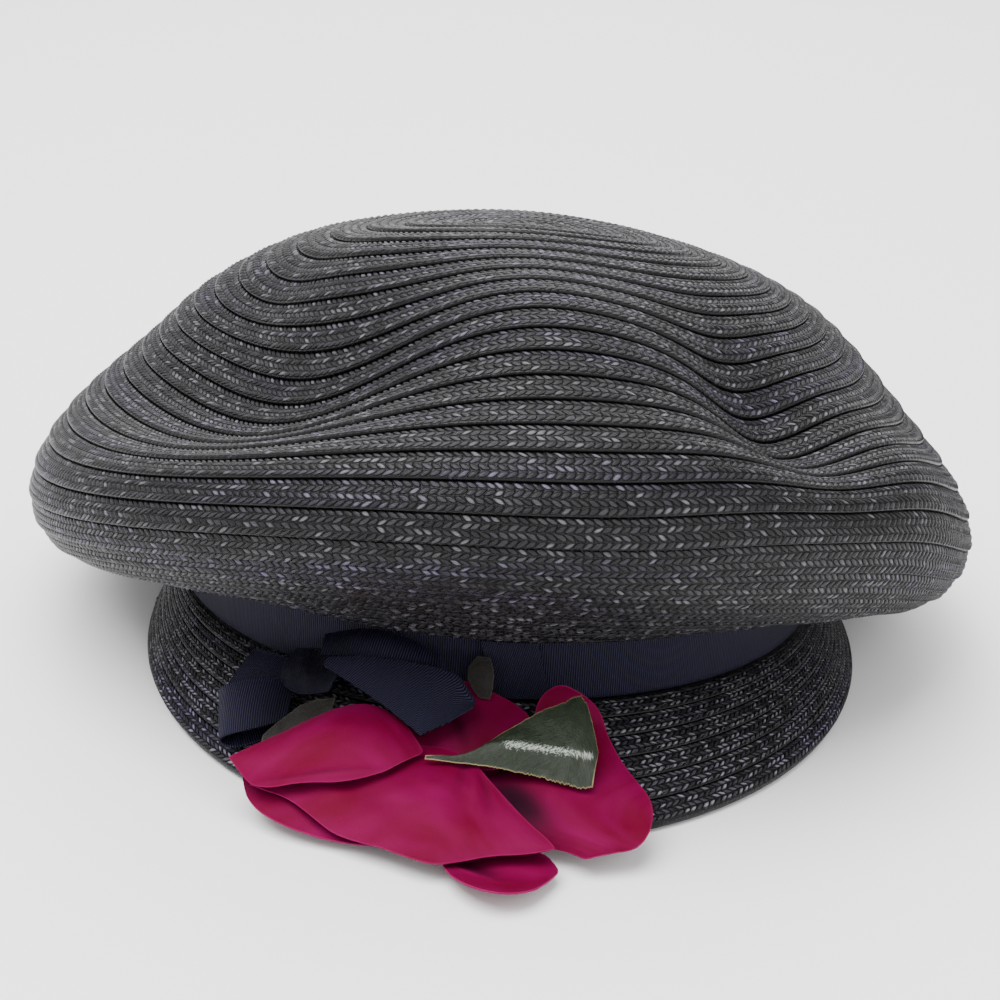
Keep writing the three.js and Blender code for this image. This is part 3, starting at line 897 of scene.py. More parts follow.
@dataclass(frozen=True)
class Plait:
    """The plaited straw braid: lanes of slanted stitches, and a lip that laps the next row."""

    stitch: float = 2.1
    lanes: int = 4
    slant: float = 0.85
    relief: float = 0.55
    lap: float = 1.0
    samples: int = 721
    bulge: tuple[float, ...] = (0.0, 1.0, 0.78)
    lanes_from: float = 0.02
    lanes_to: float = 0.95
    between: float = 0.45
    tuck: Pair = (-0.1, -0.7)
    # The edge tone paints shade on the lip that tucks under and on the outer edge that drops onto the
    # next row.
    edge_tone: float = 0.1
    full_width: float = 6.0
    least_room: float = 0.12

    def across(self) -> tuple[Array, Array, Array]:
        """Gives the section of a row, from the edge that tucks under the row before it.

        Returns:
            Shares of the row's width, heights of the base, and strengths of the stitches.
        """
        steps = 2 * self.lanes + 1
        shares = np.linspace(self.lanes_from, self.lanes_to, steps)
        base = self.lap * shares**0.7
        swell = np.where(np.arange(steps) % 2 == 1, 1.0, self.between)
        shares = np.concatenate([[self.tuck[0]], shares, [0.985, 1.0, 1.0]])
        base = np.concatenate([[self.tuck[1]], base, [0.85 * self.lap, 0.4 * self.lap, -0.6]])
        swell = np.concatenate([[0.0], swell, [0.3, 0.1, 0.0]])
        return shares, base, swell

    def strip(
        self, parts: MeshParts, surface: Surface, row: int, first: float, last: float, closed: bool
    ) -> None:
        """Adds one row of braid to a mesh.

        Args:
            parts: The mesh that is gathered.
            surface: Points by row and turn.
            row: The row's number from its root or centre.
            first: Turn where it starts, in radians.
            last: Turn where it ends.
            closed: Whether it runs right round.
        """
        dense = np.linspace(first, last, self.samples)
        length = run_along(surface(np.full_like(dense, row + 0.5), dense))
        stitches = max(8, round(length[-1] / self.stitch))
        steps = len(self.bulge)
        index = np.arange(steps * stitches + (0 if closed else 1))
        shares, base, swell = self.across()
        zigzag = -np.cos(math.pi * (np.arange(len(shares)) - 1) / 2) * self.slant / 2
        zigzag[0] = zigzag[1]
        zigzag[-3:] = zigzag[-4]
        along = (index[None, :] / steps + zigzag[:, None]) * (length[-1] / stitches)
        along = np.mod(along, length[-1]) if closed else np.clip(along, 0, length[-1])
        turn = np.interp(along, length, dense)
        rows = np.broadcast_to((row + shares)[:, None], turn.shape)
        strand = np.array(self.bulge)[index % steps]
        height = base[:, None] + self.relief * swell[:, None] * strand[None, :]
        outer, inner = (surface(np.full_like(dense, edge), dense) for edge in (row + 1.0, row))
        width = np.linalg.norm(outer - inner, axis=1)
        room = np.interp(along, length, width) / self.full_width
        room = np.clip(room, self.least_room, 1.0)
        points = surface(rows, turn)
        points = points + normals_of(surface, rows, turn) * (height * room)[..., None]
        tone = np.ones(points.shape[:-1])
        # Painted shade: the tucked lip and the dropping outer edge get the dark edge tone.
        tone[0] = tone[-1] = tone[-2] = self.edge_tone
        lane = np.clip((np.arange(len(shares)) - 1) / 2, 0.02, self.lanes - 0.02)
        plan = plan_of(index[None, :] / steps, (lane + (self.lanes + 1) * row)[:, None])
        parts.add(points, grid_faces(len(shares), len(index), closed), plan, tone)


@dataclass
class Crown:
    """The puffed crown: rows of braid sewn in rings, its inside, and the stand under it."""

    groups: tuple[tuple[str, int, int], ...] = (
        ("crown_top_rows", 0, 12),
        ("crown_upper_rows", 12, 17),
        ("crown_edge_rows", 17, 21),
        ("crown_under_rows", 21, 26),
    )
    plait: Plait = field(default_factory=Plait)
    inner_rings: int = 60
    inner_segments: int = 180
    inner_depth: float = 0.5
    inner_step: float = 0.4
    inner_plan: Pair = (43.0, 4.0)
    stand_turn: float = 93.0
    lip: float = 0.6
    lip_height: float = 0.5
    stand_middle: float = 9.0

    def surface(self, row: Array, turn: Array) -> Array:
        """Gives the crown's points, with the centre kept just open."""
        return SHAPE.crown(np.maximum(row, 0.03), turn)

    def build(self, straw: Material) -> list[Thing]:
        """Makes the outside rows, the inside and the stand.

        Args:
            straw: The straw's material.

        Returns:
            The pieces.
        """
        made = []
        for name, first, last in self.groups:
            parts = MeshParts()
            for row in range(first, last):
                self.plait.strip(parts, self.surface, row, math.pi, 3 * math.pi, True)
            made.append(parts.piece(name, "crown", straw, "straw"))
        return [*made, self.inside(straw), self.stand(straw)]

    def inside(self, straw: Material) -> Thing:
        """Makes the crown's inner face, with a shallow step at each row.

        Args:
            straw: The straw's material.

        Returns:
            The piece.
        """
        rows = np.linspace(0.05, SHAPE.rows, self.inner_rings)[:, None]
        turns = even_turns(self.inner_segments)[None, :]
        rows, turns = np.broadcast_arrays(rows, turns)
        depth = SHAPE.wall - self.inner_depth + self.inner_step * np.abs(np.mod(rows, 1.0) - 0.5)
        normal = normals_of(SHAPE.crown, rows, turns)
        points = SHAPE.crown(rows, turns) - normal * depth[..., None]
        faces = grid_faces(self.inner_rings, self.inner_segments, True)[:, ::-1]
        parts = MeshParts()
        plan = plan_of(turns * self.inner_plan[0], rows * self.inner_plan[1])
        parts.add(points, faces, plan, 0.35 + 0.15 * np.cos(FULL_TURN * rows))
        return parts.piece("crown_inside", "crown", straw, "straw")

    def stand(self, straw: Material) -> Thing:
        """Makes the short upright wall that the ribbon band goes round.

        Args:
            straw: The straw's material.

        Returns:
            The piece.
        """
        turns = np.linspace(0, FULL_TURN, self.inner_segments + 1)[:-1]
        profile = [
            (SHAPE.wall, SHAPE.stand_height + 0.8),
            (SHAPE.wall, self.stand_middle),
            (SHAPE.wall, self.lip_height),
            (SHAPE.wall - self.lip, 0.0),
            (self.lip, 0.0),
            (0.0, self.lip_height),
            (0.0, self.stand_middle),
            (0.0, SHAPE.stand_height + 2.0),
        ]
        points = np.stack([SHAPE.stand(turns, out, z) for out, z in profile])
        run = np.cumsum([0, 10, 9, 1, 1, 1, 9, 12])
        parts = MeshParts()
        faces = grid_faces(len(profile), len(turns), True)
        parts.add(points, faces, plan_of(turns * self.stand_turn, run[:, None]))
        return parts.piece("crown_stand", "crown", straw, "straw")


@dataclass
class Peak:
    """The braid peak: rows that run round the front, a rolled edge and a sewn underside."""

    rows: int = 6
    start: float = -114.0
    end: float = 114.0
    plait: Plait = field(default_factory=lambda: Plait(stitch=1.9, lap=0.5))
    stitch_gap: float = 3.4
    stitch_long: float = 1.5
    stitch_dip: float = 0.45
    stitch_shift: float = 0.4
    thread: float = 0.16
    thread_high: float = 0.14
    sewn_row: float = 0.16
    sewn_height: float = 1.15
    sewn_to: float = 80.0
    underside_depth: float = 1.9
    turn_length: float = 110.0

    def surface(self, row: Array, turn: Array) -> Array:
        """Gives the peak's points by row, from its root outwards."""
        return SHAPE.peak(np.asarray(row) / self.rows, turn)

    def build(self, straw: Material, thread: Material) -> list[Thing]:
        """Makes the rows, the underside and the sewing.

        Args:
            straw: The straw's material.
            thread: The sewing thread's material.

        Returns:
            The pieces.
        """
        first, last = math.radians(self.start), math.radians(self.end)
        parts = MeshParts()
        for row in range(self.rows):
            self.plait.strip(parts, self.surface, row, first, last, False)
        self.underside(parts, first, last)
        rows = parts.piece("peak_rows", "peak", straw, "straw")
        return [rows, self.sewing(thread)]

    def underside(self, parts: MeshParts, first: float, last: float) -> None:
        """Adds the rolled outer edge and the lower face.

        Args:
            parts: The mesh that is gathered.
            first: Turn where the peak starts, in radians.
            last: Turn where it ends.
        """
        turns = np.linspace(first, last, 300)
        low = -self.underside_depth
        profile = [(6.0, 0.4), (6.06, -0.2), (6.08, -0.9), (6.04, -1.5), (5.95, low)]
        profile += [(float(row), low) for row in range(self.rows - 1, -1, -1)]
        profile += [(0.0, 0.1)]
        grid = []
        for row, out in profile:
            at = np.full_like(turns, row)
            normal = normals_of(self.surface, np.maximum(at, 0.05), turns)
            grid.append(self.surface(at, turns) + normal * out)
        flange = SHAPE.stand(turns, 0.2, -SHAPE.gap)
        points = np.stack([*grid[:-1], flange - [0, 0, SHAPE.wall], flange, grid[-1]])
        plan = plan_of(turns * self.turn_length, np.arange(len(points))[:, None] * 6.0)
        parts.add(points, grid_faces(len(points), len(turns)), plan, 0.4)

    def sewing(self, thread: Material) -> Thing:
        """Makes the running stitches that hold the rows together.

        Args:
            thread: The sewing thread's material.

        Returns:
            The piece.
        """
        parts = MeshParts()
        rng = np.random.default_rng(5)
        dense = np.linspace(math.radians(-self.sewn_to), math.radians(self.sewn_to), 500)
        for row in range(1, self.rows):
            at = np.full_like(dense, row - self.sewn_row)
            out = normals_of(self.surface, at, dense)
            path = self.surface(at, dense) + out * self.sewn_height
            length = run_along(path)
            begin = np.arange(2.0, length[-1] - 3.0, self.stitch_gap)
            begin = begin + rng.uniform(-self.stitch_shift, self.stitch_shift, len(begin))
            for start in begin:
                steps = np.linspace(start, start + self.stitch_long, 4)
                middle = np.stack([np.interp(steps, length, path[:, k]) for k in range(3)], -1)
                ahead = unit(middle[-1] - middle[0])
                side = unit(np.cross(ahead, [0, 0, 1.0]))
                up = np.cross(side, ahead)
                dip = np.array([-self.stitch_dip, 0.0, 0.0, -self.stitch_dip])[:, None] * up
                around = [-side * self.thread, up * self.thread_high, side * self.thread]
                points = np.stack([middle + dip + offset for offset in around], 1)
                plan = plan_of(steps[:, None], np.array([[0, 0.2, 0.4]]))
                parts.add(points, grid_faces(4, 3), plan)
        return parts.piece("peak_sewing", "peak", thread, "straw")


@dataclass(frozen=True)
class Seat:
    """A place on the peak: u to the right along it, v down its slope, w out from it."""

    share: float
    azimuth: float

    def at(self, u: Array, v: Array, w: Array) -> Array:
        """Takes coordinates on the seat to the cap's own frame.

        Args:
            u: How far right.
            v: How far down the slope.
            w: How far out.

        Returns:
            The points.
        """
        turn = np.array(math.radians(self.azimuth))
        share = np.array(self.share)
        origin = SHAPE.peak(share, turn)
        out = normals_of(SHAPE.peak, share, turn)
        right = unit(np.cross([0, 0, 1.0], out))
        down = np.cross(right, out)
        u, v, w = (np.asarray(value)[..., None] for value in (u, v, w))
        return origin + u * right + v * down + w * out


ROSE_SEAT = Seat(0.5, -6.0)
BOW_SEAT = Seat(0.4, -27.0)


@dataclass(frozen=True)
class Fold:
    """A soft ridge or hollow on a seat, in millimetres and degrees, with its own tone, which paints
    shade where it is below 0 and a highlight where it is above 0.
    """

    u: float
    v: float
    turn: float
    long: float
    wide: float
    rise: float
    tone: float

    def share(self, u: Array, v: Array) -> Array:
        """Gives how far each point is in the fold, from 0 to 1."""
        along, across = turned(u - self.u, v - self.v, self.turn)
        return np.exp(-((along / self.long) ** 2) - (across / self.wide) ** 2)


@dataclass(frozen=True)
class Crease:
    """A pressed fold along a line of constant v, with a painted highlight along it."""

    v: float
    height: float
    first: float
    last: float
    strength: float = 0.46
    width: float = 1.3

    def rise(self, v0: Array, v1: Array, v: Array, share: Array) -> Array:
        """Gives how far the fold lifts each point between the edges v0 and v1.

        Args:
            v0: Where the upper edge is.
            v1: Where the lower edge is.
            v: Where the point is.
            share: How far along the sheet it is.

        Returns:
            The heights.
        """
        ridge = np.clip(self.v, v0 + 0.3, v1 - 0.3)
        slope = np.where(v < ridge, (v - v0) / (ridge - v0), (v1 - v) / (v1 - ridge))
        return self.height * np.clip(slope, 0, 1) * np.clip(np.sin(math.pi * share), 0, 1)

    def wear_and_highlight(self, u: Array, v: Array) -> Array:
        """Gives how strong the painted highlight is at each point along the fold."""
        along = np.clip((u - self.first) / 4, 0, 1) * np.clip((self.last - u) / 2, 0, 1)
        return self.strength * along * np.exp(-(((v - self.v) / self.width) ** 2))


@dataclass
class ClothSheet:
    """A thin sheet of cloth through sections, each from point 0 to point 1 on a seat."""

    name: str
    node: str
    flat: Pair
    held: Held
    rests_on: tuple[str, ...]
    sections: list[Row]
    seat: Seat = ROSE_SEAT
    thick: float = 0.3
    rim: float = 0.08
    rim_width: float = 0.5
    wrinkle: float = 0.5
    wrinkle_size: float = 22.0
    seed: int = 1
    grid: tuple[int, int] = (96, 60)
    rib_turn: float = 0.0
    rounded: float = 0.0
    hem: float | None = None
    hem_width: float = 0.3
    straight: bool = False
    folds: tuple[Fold, ...] = ()
    crease: Crease | None = None
    fray: float = 0.0
    area: float | None = None

    def columns(self) -> dict[str, Curve]:
        """Gives curves through the section columns, against the section's number.

        Returns:
            The curves by column name: where each edge runs, and the bulge between them.
        """
        full = []
        for number, row in enumerate(self.sections):
            edges = {key + end: row[key] for key in "uv" if key in row for end in "01"}
            full.append({"i": number, **edges, **row})
        if self.straight:
            at = [row["i"] for row in full]
            return {key: partial(np.interp, xp=at, fp=[row[key] for row in full]) for key in full[0]}
        return spline_columns(full, "i")

    def middle(self) -> tuple[Array, Array]:
        """Gives the middle surface of the cloth.

        Returns:
            A grid of points, and their tones.
        """
        col = self.columns()
        rows, cols = self.grid
        share = np.linspace(0, 1, rows)[:, None]
        t = np.linspace(0, 1, cols)[None, :]
        if self.rounded:
            share, t = (0.4 * x + 0.3 * (1 - np.cos(math.pi * x)) for x in (share, t))
        i = share * (len(self.sections) - 1)
        c = {name: curve(i) for name, curve in col.items()}
        if self.rounded:
            near = np.clip(np.minimum(share, 1 - share) / self.rounded, 0, 1)
            t = 0.5 + (t - 0.5) * np.maximum(np.sqrt(1 - (1 - near) ** 2), 0.04)
        if self.fray:
            torn = np.random.default_rng(self.seed).uniform(-1, 1, (rows, 2)) * self.fray
            t = t + torn[:, :1] * (1 - t) ** 12 + torn[:, 1:] * t**12
        u = c["u0"] + (c["u1"] - c["u0"]) * t
        v = c["v0"] + (c["v1"] - c["v0"]) * t
        w = c["w0"] + (c["w1"] - c["w0"]) * t + c["bulge"] * 4 * t * (1 - t)
        if self.crease:
            w = w + self.crease.rise(c["v0"], c["v1"], v, share)
        for fold in self.folds:
            w = w + fold.rise * fold.share(u, v)
        w = w + self.wrinkle * ripple(u, v, self.seed, self.wrinkle_size)
        return self.seat.at(u, v, w), self.tones(u, v)

    def tones(self, u: Array, v: Array) -> Array:
        """Gives each point's tone: 0.5 plain, less for painted shade in a hollow, more for a painted
        highlight on a ridge and along the crease.

        Args:
            u: How far right each point lies.
            v: How far down.

        Returns:
            The tones, from 0 to 1.
        """
        tone = np.full(np.broadcast(u, v).shape, 0.5)
        for fold in self.folds:
            tone = tone + fold.tone * fold.share(u, v)
        if self.crease:
            tone = tone + self.crease.wear_and_highlight(u, v)
        return np.clip(tone, 0.0, 1.0)

    def faces(self) -> Array:
        """Gives the quads of the upper and lower face and of the edge between them.

        Returns:
            Corner indices, where the lower face's points follow the upper one's.
        """
        rows, cols = self.grid
        below = rows * cols
        top = grid_faces(rows, cols)
        first, right = np.arange(cols - 1), np.arange(1, rows) * cols - 1
        border = np.concatenate([first, right, below - 1 - first, below - 1 - right])
        after = np.roll(border, -1)
        walls = np.stack([border, after, after + below, border + below], -1)
        return np.concatenate([top, top[:, ::-1] + below, walls])

    def build(self, material: Material, slot: str) -> Thing:
        """Args:
            material: The cloth's material.
            slot: The record's material slot.

        Returns:
            The new object.
        """
        middle, tone = self.middle()
        du, dv = np.gradient(middle, axis=0), np.gradient(middle, axis=1)
        normal = unit(np.cross(du, dv))
        long_u, long_v = np.linalg.norm(du, axis=-1), np.linalg.norm(dv, axis=-1)
        run_u = np.cumsum(long_u, axis=0) - long_u
        run_v = np.cumsum(long_v, axis=1) - long_v
        edge_u = np.minimum(run_u, run_u[-1:, :] - run_u)
        edge = np.minimum(edge_u, np.minimum(run_v, run_v[:, -1:] - run_v))
        bead = self.rim * np.exp(-((edge / self.rim_width) ** 2))
        half = (self.thick / 2 + bead)[..., None]
        # Edge tone: on petals the pale rolled hem, partly a painted sheen line; on leaves the frayed
        # edge.
        if self.hem is not None:
            tone = tone + np.exp(-((edge / self.hem_width) ** 2)) * (self.hem - tone)
        plan = plan_of(*turned(run_u, run_v, self.rib_turn))
        sheets = []
        for side in (1, -1):
            sheet = middle + side * half * normal
            floor = SHAPE.table_height(sheet[..., 0], sheet[..., 1]) + SHAPE.gap
            floor = floor + (2 * half[..., 0] if side > 0 else 0)
            sheet[..., 2] = np.maximum(sheet[..., 2], floor)
            sheets.append(sheet)
        parts = MeshParts()
        parts.add(np.stack(sheets), self.faces(), np.stack([plan, plan]), np.stack([tone, tone]))
        thing = parts.piece(self.name, self.node, material, slot)
        self.area and self.area * MM * MM
        list(self.rests_on)
        return thing


@dataclass
class Rose:
    """The flattened silk rose: six petals and three leaves."""

    def petals(self) -> Iterator[ClothSheet]:
        """Gives the petals, from the lowest to the topmost.

        Yields:
            The petals.
        """
        # Every petal has a pale rolled hem along its edges, partly a painted sheen line.
        petal = partial(ClothSheet, hem=0.78)
        yield petal(
            "rose_back_petal", "petal_back", (31, 60), Held.LAID, ("peak",),
            table(
                "u v0 v1 w0 w1 bulge",
                (-45, 12, 16, 3.0, 3.0, 0.2),
                (-38, 2, 24, 2.2, 4.6, 0.3),
                (-24, -7, 28.5, 1.4, 4.8, 0.4),
                (-8, -11, 28.5, 1.2, 4.4, 0.2),
                (6, -11, 23.5, 1.2, 2.4, 0),
                (15, -6, 21, 1.2, 1.8, 0),
            ),
            wrinkle=0.15, seed=3, rounded=0.1,
            # Painted shade in two patches, with no fold in the shape.
            folds=(Fold(-34, 14, 20, 9, 5, 0, -0.26), Fold(6, 4, 0, 12, 8, 0, -0.22)),
        )
        yield petal(
            "rose_centre_petal", "petal_centre", (28, 26), Held.LAID, ("petal_back",),
            table(
                "v u0 u1 w0 w1 bulge",
                (-20, 0, 5, 4.6, 4.6, 0.4),
                (-15, -6, 17, 3.2, 3.6, 1.2),
                (-8, -8, 22, 3.4, 3.8, 1.8),
                (-1, -8, 22, 4.0, 4.2, 1.3),
                (5, -6, 17, 4.2, 4.4, 0.3),
            ),
            wrinkle=0.35, seed=4, rounded=0.2,
            # Painted shade over the middle, and a hollow with painted shade.
            folds=(Fold(3, -6, 0, 16, 9, 0, -0.24), Fold(2, -9, 60, 8, 1.5, -0.5, -0.12)),
        )
        yield petal(
            "rose_right_petal", "petal_right", (30, 50), Held.LAID, ("peak",),
            table(
                "v u0 u1 w0 w1 bulge",
                (-19.8, 22.5, 31, 8.6, 8.2, 0.2),
                (-18.6, 21, 34.5, 5.4, 5.2, 0.4),
                (-15.5, 20.5, 37, 2.4, 2.6, 0.8),
                (-11, 20, 39, 1, 1.9, 1.5),
                (-3, 18.5, 44, 0.8, 2.6, 2),
                (2, 16.8, 48, 2, 3.4, 1.8),
                (8, 11, 52, 3.9, 4.3, 1.6),
                (16, 12.5, 52.5, 4, 5.4, 1.6),
                (20.5, 23, 50.5, 3.6, 5.8, 1.4),
                (23, 31.5, 47.5, 3.4, 6.2, 1.2),
                (26, 36, 42, 5.4, 6.6, 0.4),
            ),
            wrinkle=0.45, seed=5, rounded=0.2,
            # A hollow with painted shade, a ridge with a faint painted highlight, and a shallow
            # hollow with a little painted shade.
            folds=(
                Fold(20.5, 12, 38, 12, 5.2, -0.9, -0.48),
                Fold(33, 13, 48, 12, 3.5, 0.6, 0.03),
                Fold(43, 10, 75, 13, 4, -0.4, -0.04),
            ),
        )
        yield petal(
            "rose_middle_petal", "petal_middle", (24, 74), Held.LAID, ("petal_back",),
            table(
                "u v0 v1 w0 w1 bulge",
                (-42, 17, 18.5, 6.0, 6.0, 0.2),
                (-32, 9, 20.5, 5.2, 6.4, 0.8),
                (-20, 4, 28, 5.0, 7.2, 1.8),
                (-8, 1, 31.5, 5.6, 8.4, 2.2),
                (4, 1, 35, 5.6, 10.6, 1.8),
                (14, 9, 32, 7.4, 9.4, 1.2),
                (24, 19, 29, 8.4, 9.2, 0.6),
                (32, 25, 27, 8.8, 9.0, 0),
            ),
            wrinkle=0.6, seed=6, rounded=0.08,
            # Painted shade at the left end, hollows with painted shade and ridges with painted
            # highlights.
            folds=(
                Fold(-34, 15, 20, 7, 4, 0, -0.22),
                Fold(7, 9, 88, 7, 1.6, -0.5, -0.14),
                Fold(10.5, 10.5, 80, 7, 1.2, 0.5, 0.06),
                Fold(13.5, 12, 72, 8, 1.4, -0.5, -0.16),
                Fold(2, 22, 20, 16, 4, 0.5, 0.04),
                Fold(-14, 17, 28, 18, 3, -0.5, -0.08),
            ),
        )
        yield petal(
            "rose_left_petal", "petal_left", (24, 45), Held.FOLDED, ("petal_middle",),
            table(
                "u v0 v1 w0 w1 bulge",
                (-48, 12, 14, 8.6, 8.8, 0.3),
                (-40, 5.5, 19.5, 8.0, 8.8, 3.0),
                (-30, -2.5, 18, 8.0, 9.8, 4.5),
                (-20, -7.5, 16.5, 8.0, 10.6, 4.2),
                (-11, -5, 12.5, 8.0, 10.6, 2.4),
                (-3, 2, 7, 8.6, 9.2, 0.3),
            ),
            wrinkle=0.3, seed=7, rounded=0.22,
            # A thin valley and a patch with painted shade, and a low ridge with a faint painted
            # highlight.
            folds=(
                Fold(-25, 15.2, -13.6, 17, 0.7, -0.4, -0.16),
                Fold(-5, 5, 30, 6, 3, -0.2, -0.1),
                Fold(-24, 3, -10, 12, 4, 0.3, 0.04),
            ),
        )
        yield petal(
            "rose_lower_petal", "petal_lower", (19, 26), Held.FOLDED, ("petal_middle",),
            table(
                "u v0 v1 w0 w1 bulge",
                (6.5, 28, 33.5, 5.2, 7.6, -0.2),
                (12, 24.5, 39.5, 4, 12.6, -1.4),
                (20, 23.5, 43.5, 3.6, 16.2, -1.8),
                (28, 24.5, 41, 3.7, 13.8, -1.2),
                (33.5, 27.5, 33, 4.6, 7.8, 0),
            ),
            wrinkle=0.25, seed=8, rounded=0.2,
            # A hollow with painted shade inside the loop, and a ridge along its edge with a painted
            # highlight.
            folds=(Fold(14.5, 32.5, 25, 8, 3, -0.8, -0.34), Fold(16, 36, 24, 8, 0.7, 0.5, 0.2)),
        )

    def leaves(self) -> Iterator[ClothSheet]:
        """Gives the three leaves.

        Yields:
            The leaves.
        """
        leaf = partial(ClothSheet, rim=0.05)
        yield leaf(
            "rose_green_leaf", "leaf_green", (14, 38), Held.FOLDED, ("petal_middle",),
            table(
                "u v0 v1 w0 w1 bulge",
                (-2, 5.8, 6.8, 9.6, 9.6, 0),
                (6, 4.2, 6.2, 9.4, 9, 0.2),
                (12, 0, 5.8, 9.4, 8.4, 0.4),
                (20, -7.5, 6, 10.6, 8, 0.6),
                (28, -12.8, 7, 11.4, 7.9, 0.6),
                (32, -15, 7.6, 11.6, 7.9, 0.6),
                (35.5, -8.5, 8, 10.6, 7.9, 0.4),
                (38, -1, 7.5, 9.4, 8.2, 0.2),
            ),
            wrinkle=0.35, wrinkle_size=14, seed=9, grid=(140, 60), hem=0.0,
            crease=Crease(0.4, 1.2, 13.0, 38.5), fray=0.016,
        )
        yield leaf(
            "rose_brown_leaf", "leaf_brown", (10, 16), Held.LAID, ("petal_back",),
            table(
                "u v0 v1 w0 w1 bulge",
                (-43, 2, 3.5, 3.6, 3.6, 0),
                (-39, -4, 4, 3.8, 3.8, 0.4),
                (-34, -9, 0, 3.9, 4.0, 0.5),
                (-28, -11, -4, 4.1, 4.2, 0.3),
            ),
            wrinkle=0.3, wrinkle_size=10, seed=10, hem=0.15, fray=0.025,
        )
        yield leaf(
            "rose_small_leaf", "leaf_small", (10, 11), Held.LAID, ("petal_centre",),
            table(
                "v u0 u1 w0 w1 bulge",
                (-24.5, 5, 8, 9.8, 9.8, 0),
                (-21, 3.2, 9.5, 8.4, 8.6, 0.3),
                (-17.5, 4.5, 9.8, 6.8, 6.8, 0.2),
                (-15, 7, 9.5, 6, 6, 0),
            ),
            wrinkle=0.2, wrinkle_size=8, seed=11, grid=(60, 40), hem=0.2, fray=0.03, area=76,
        )

    def build(self, silk: Material, green: Material, brown: Material) -> list[Thing]:
        """Makes the petals and the leaves.

        Args:
            silk: The petals' material.
            green: The large leaf's.
            brown: The small leaves'.

        Returns:
            The pieces.
        """
        made = [petal.build(silk, "silk") for petal in self.petals()]
        looks = ((green, "leaf"), (brown, "dry_leaf"), (brown, "dry_leaf"))
        return made + [leaf.build(*look) for leaf, look in zip(self.leaves(), looks)]


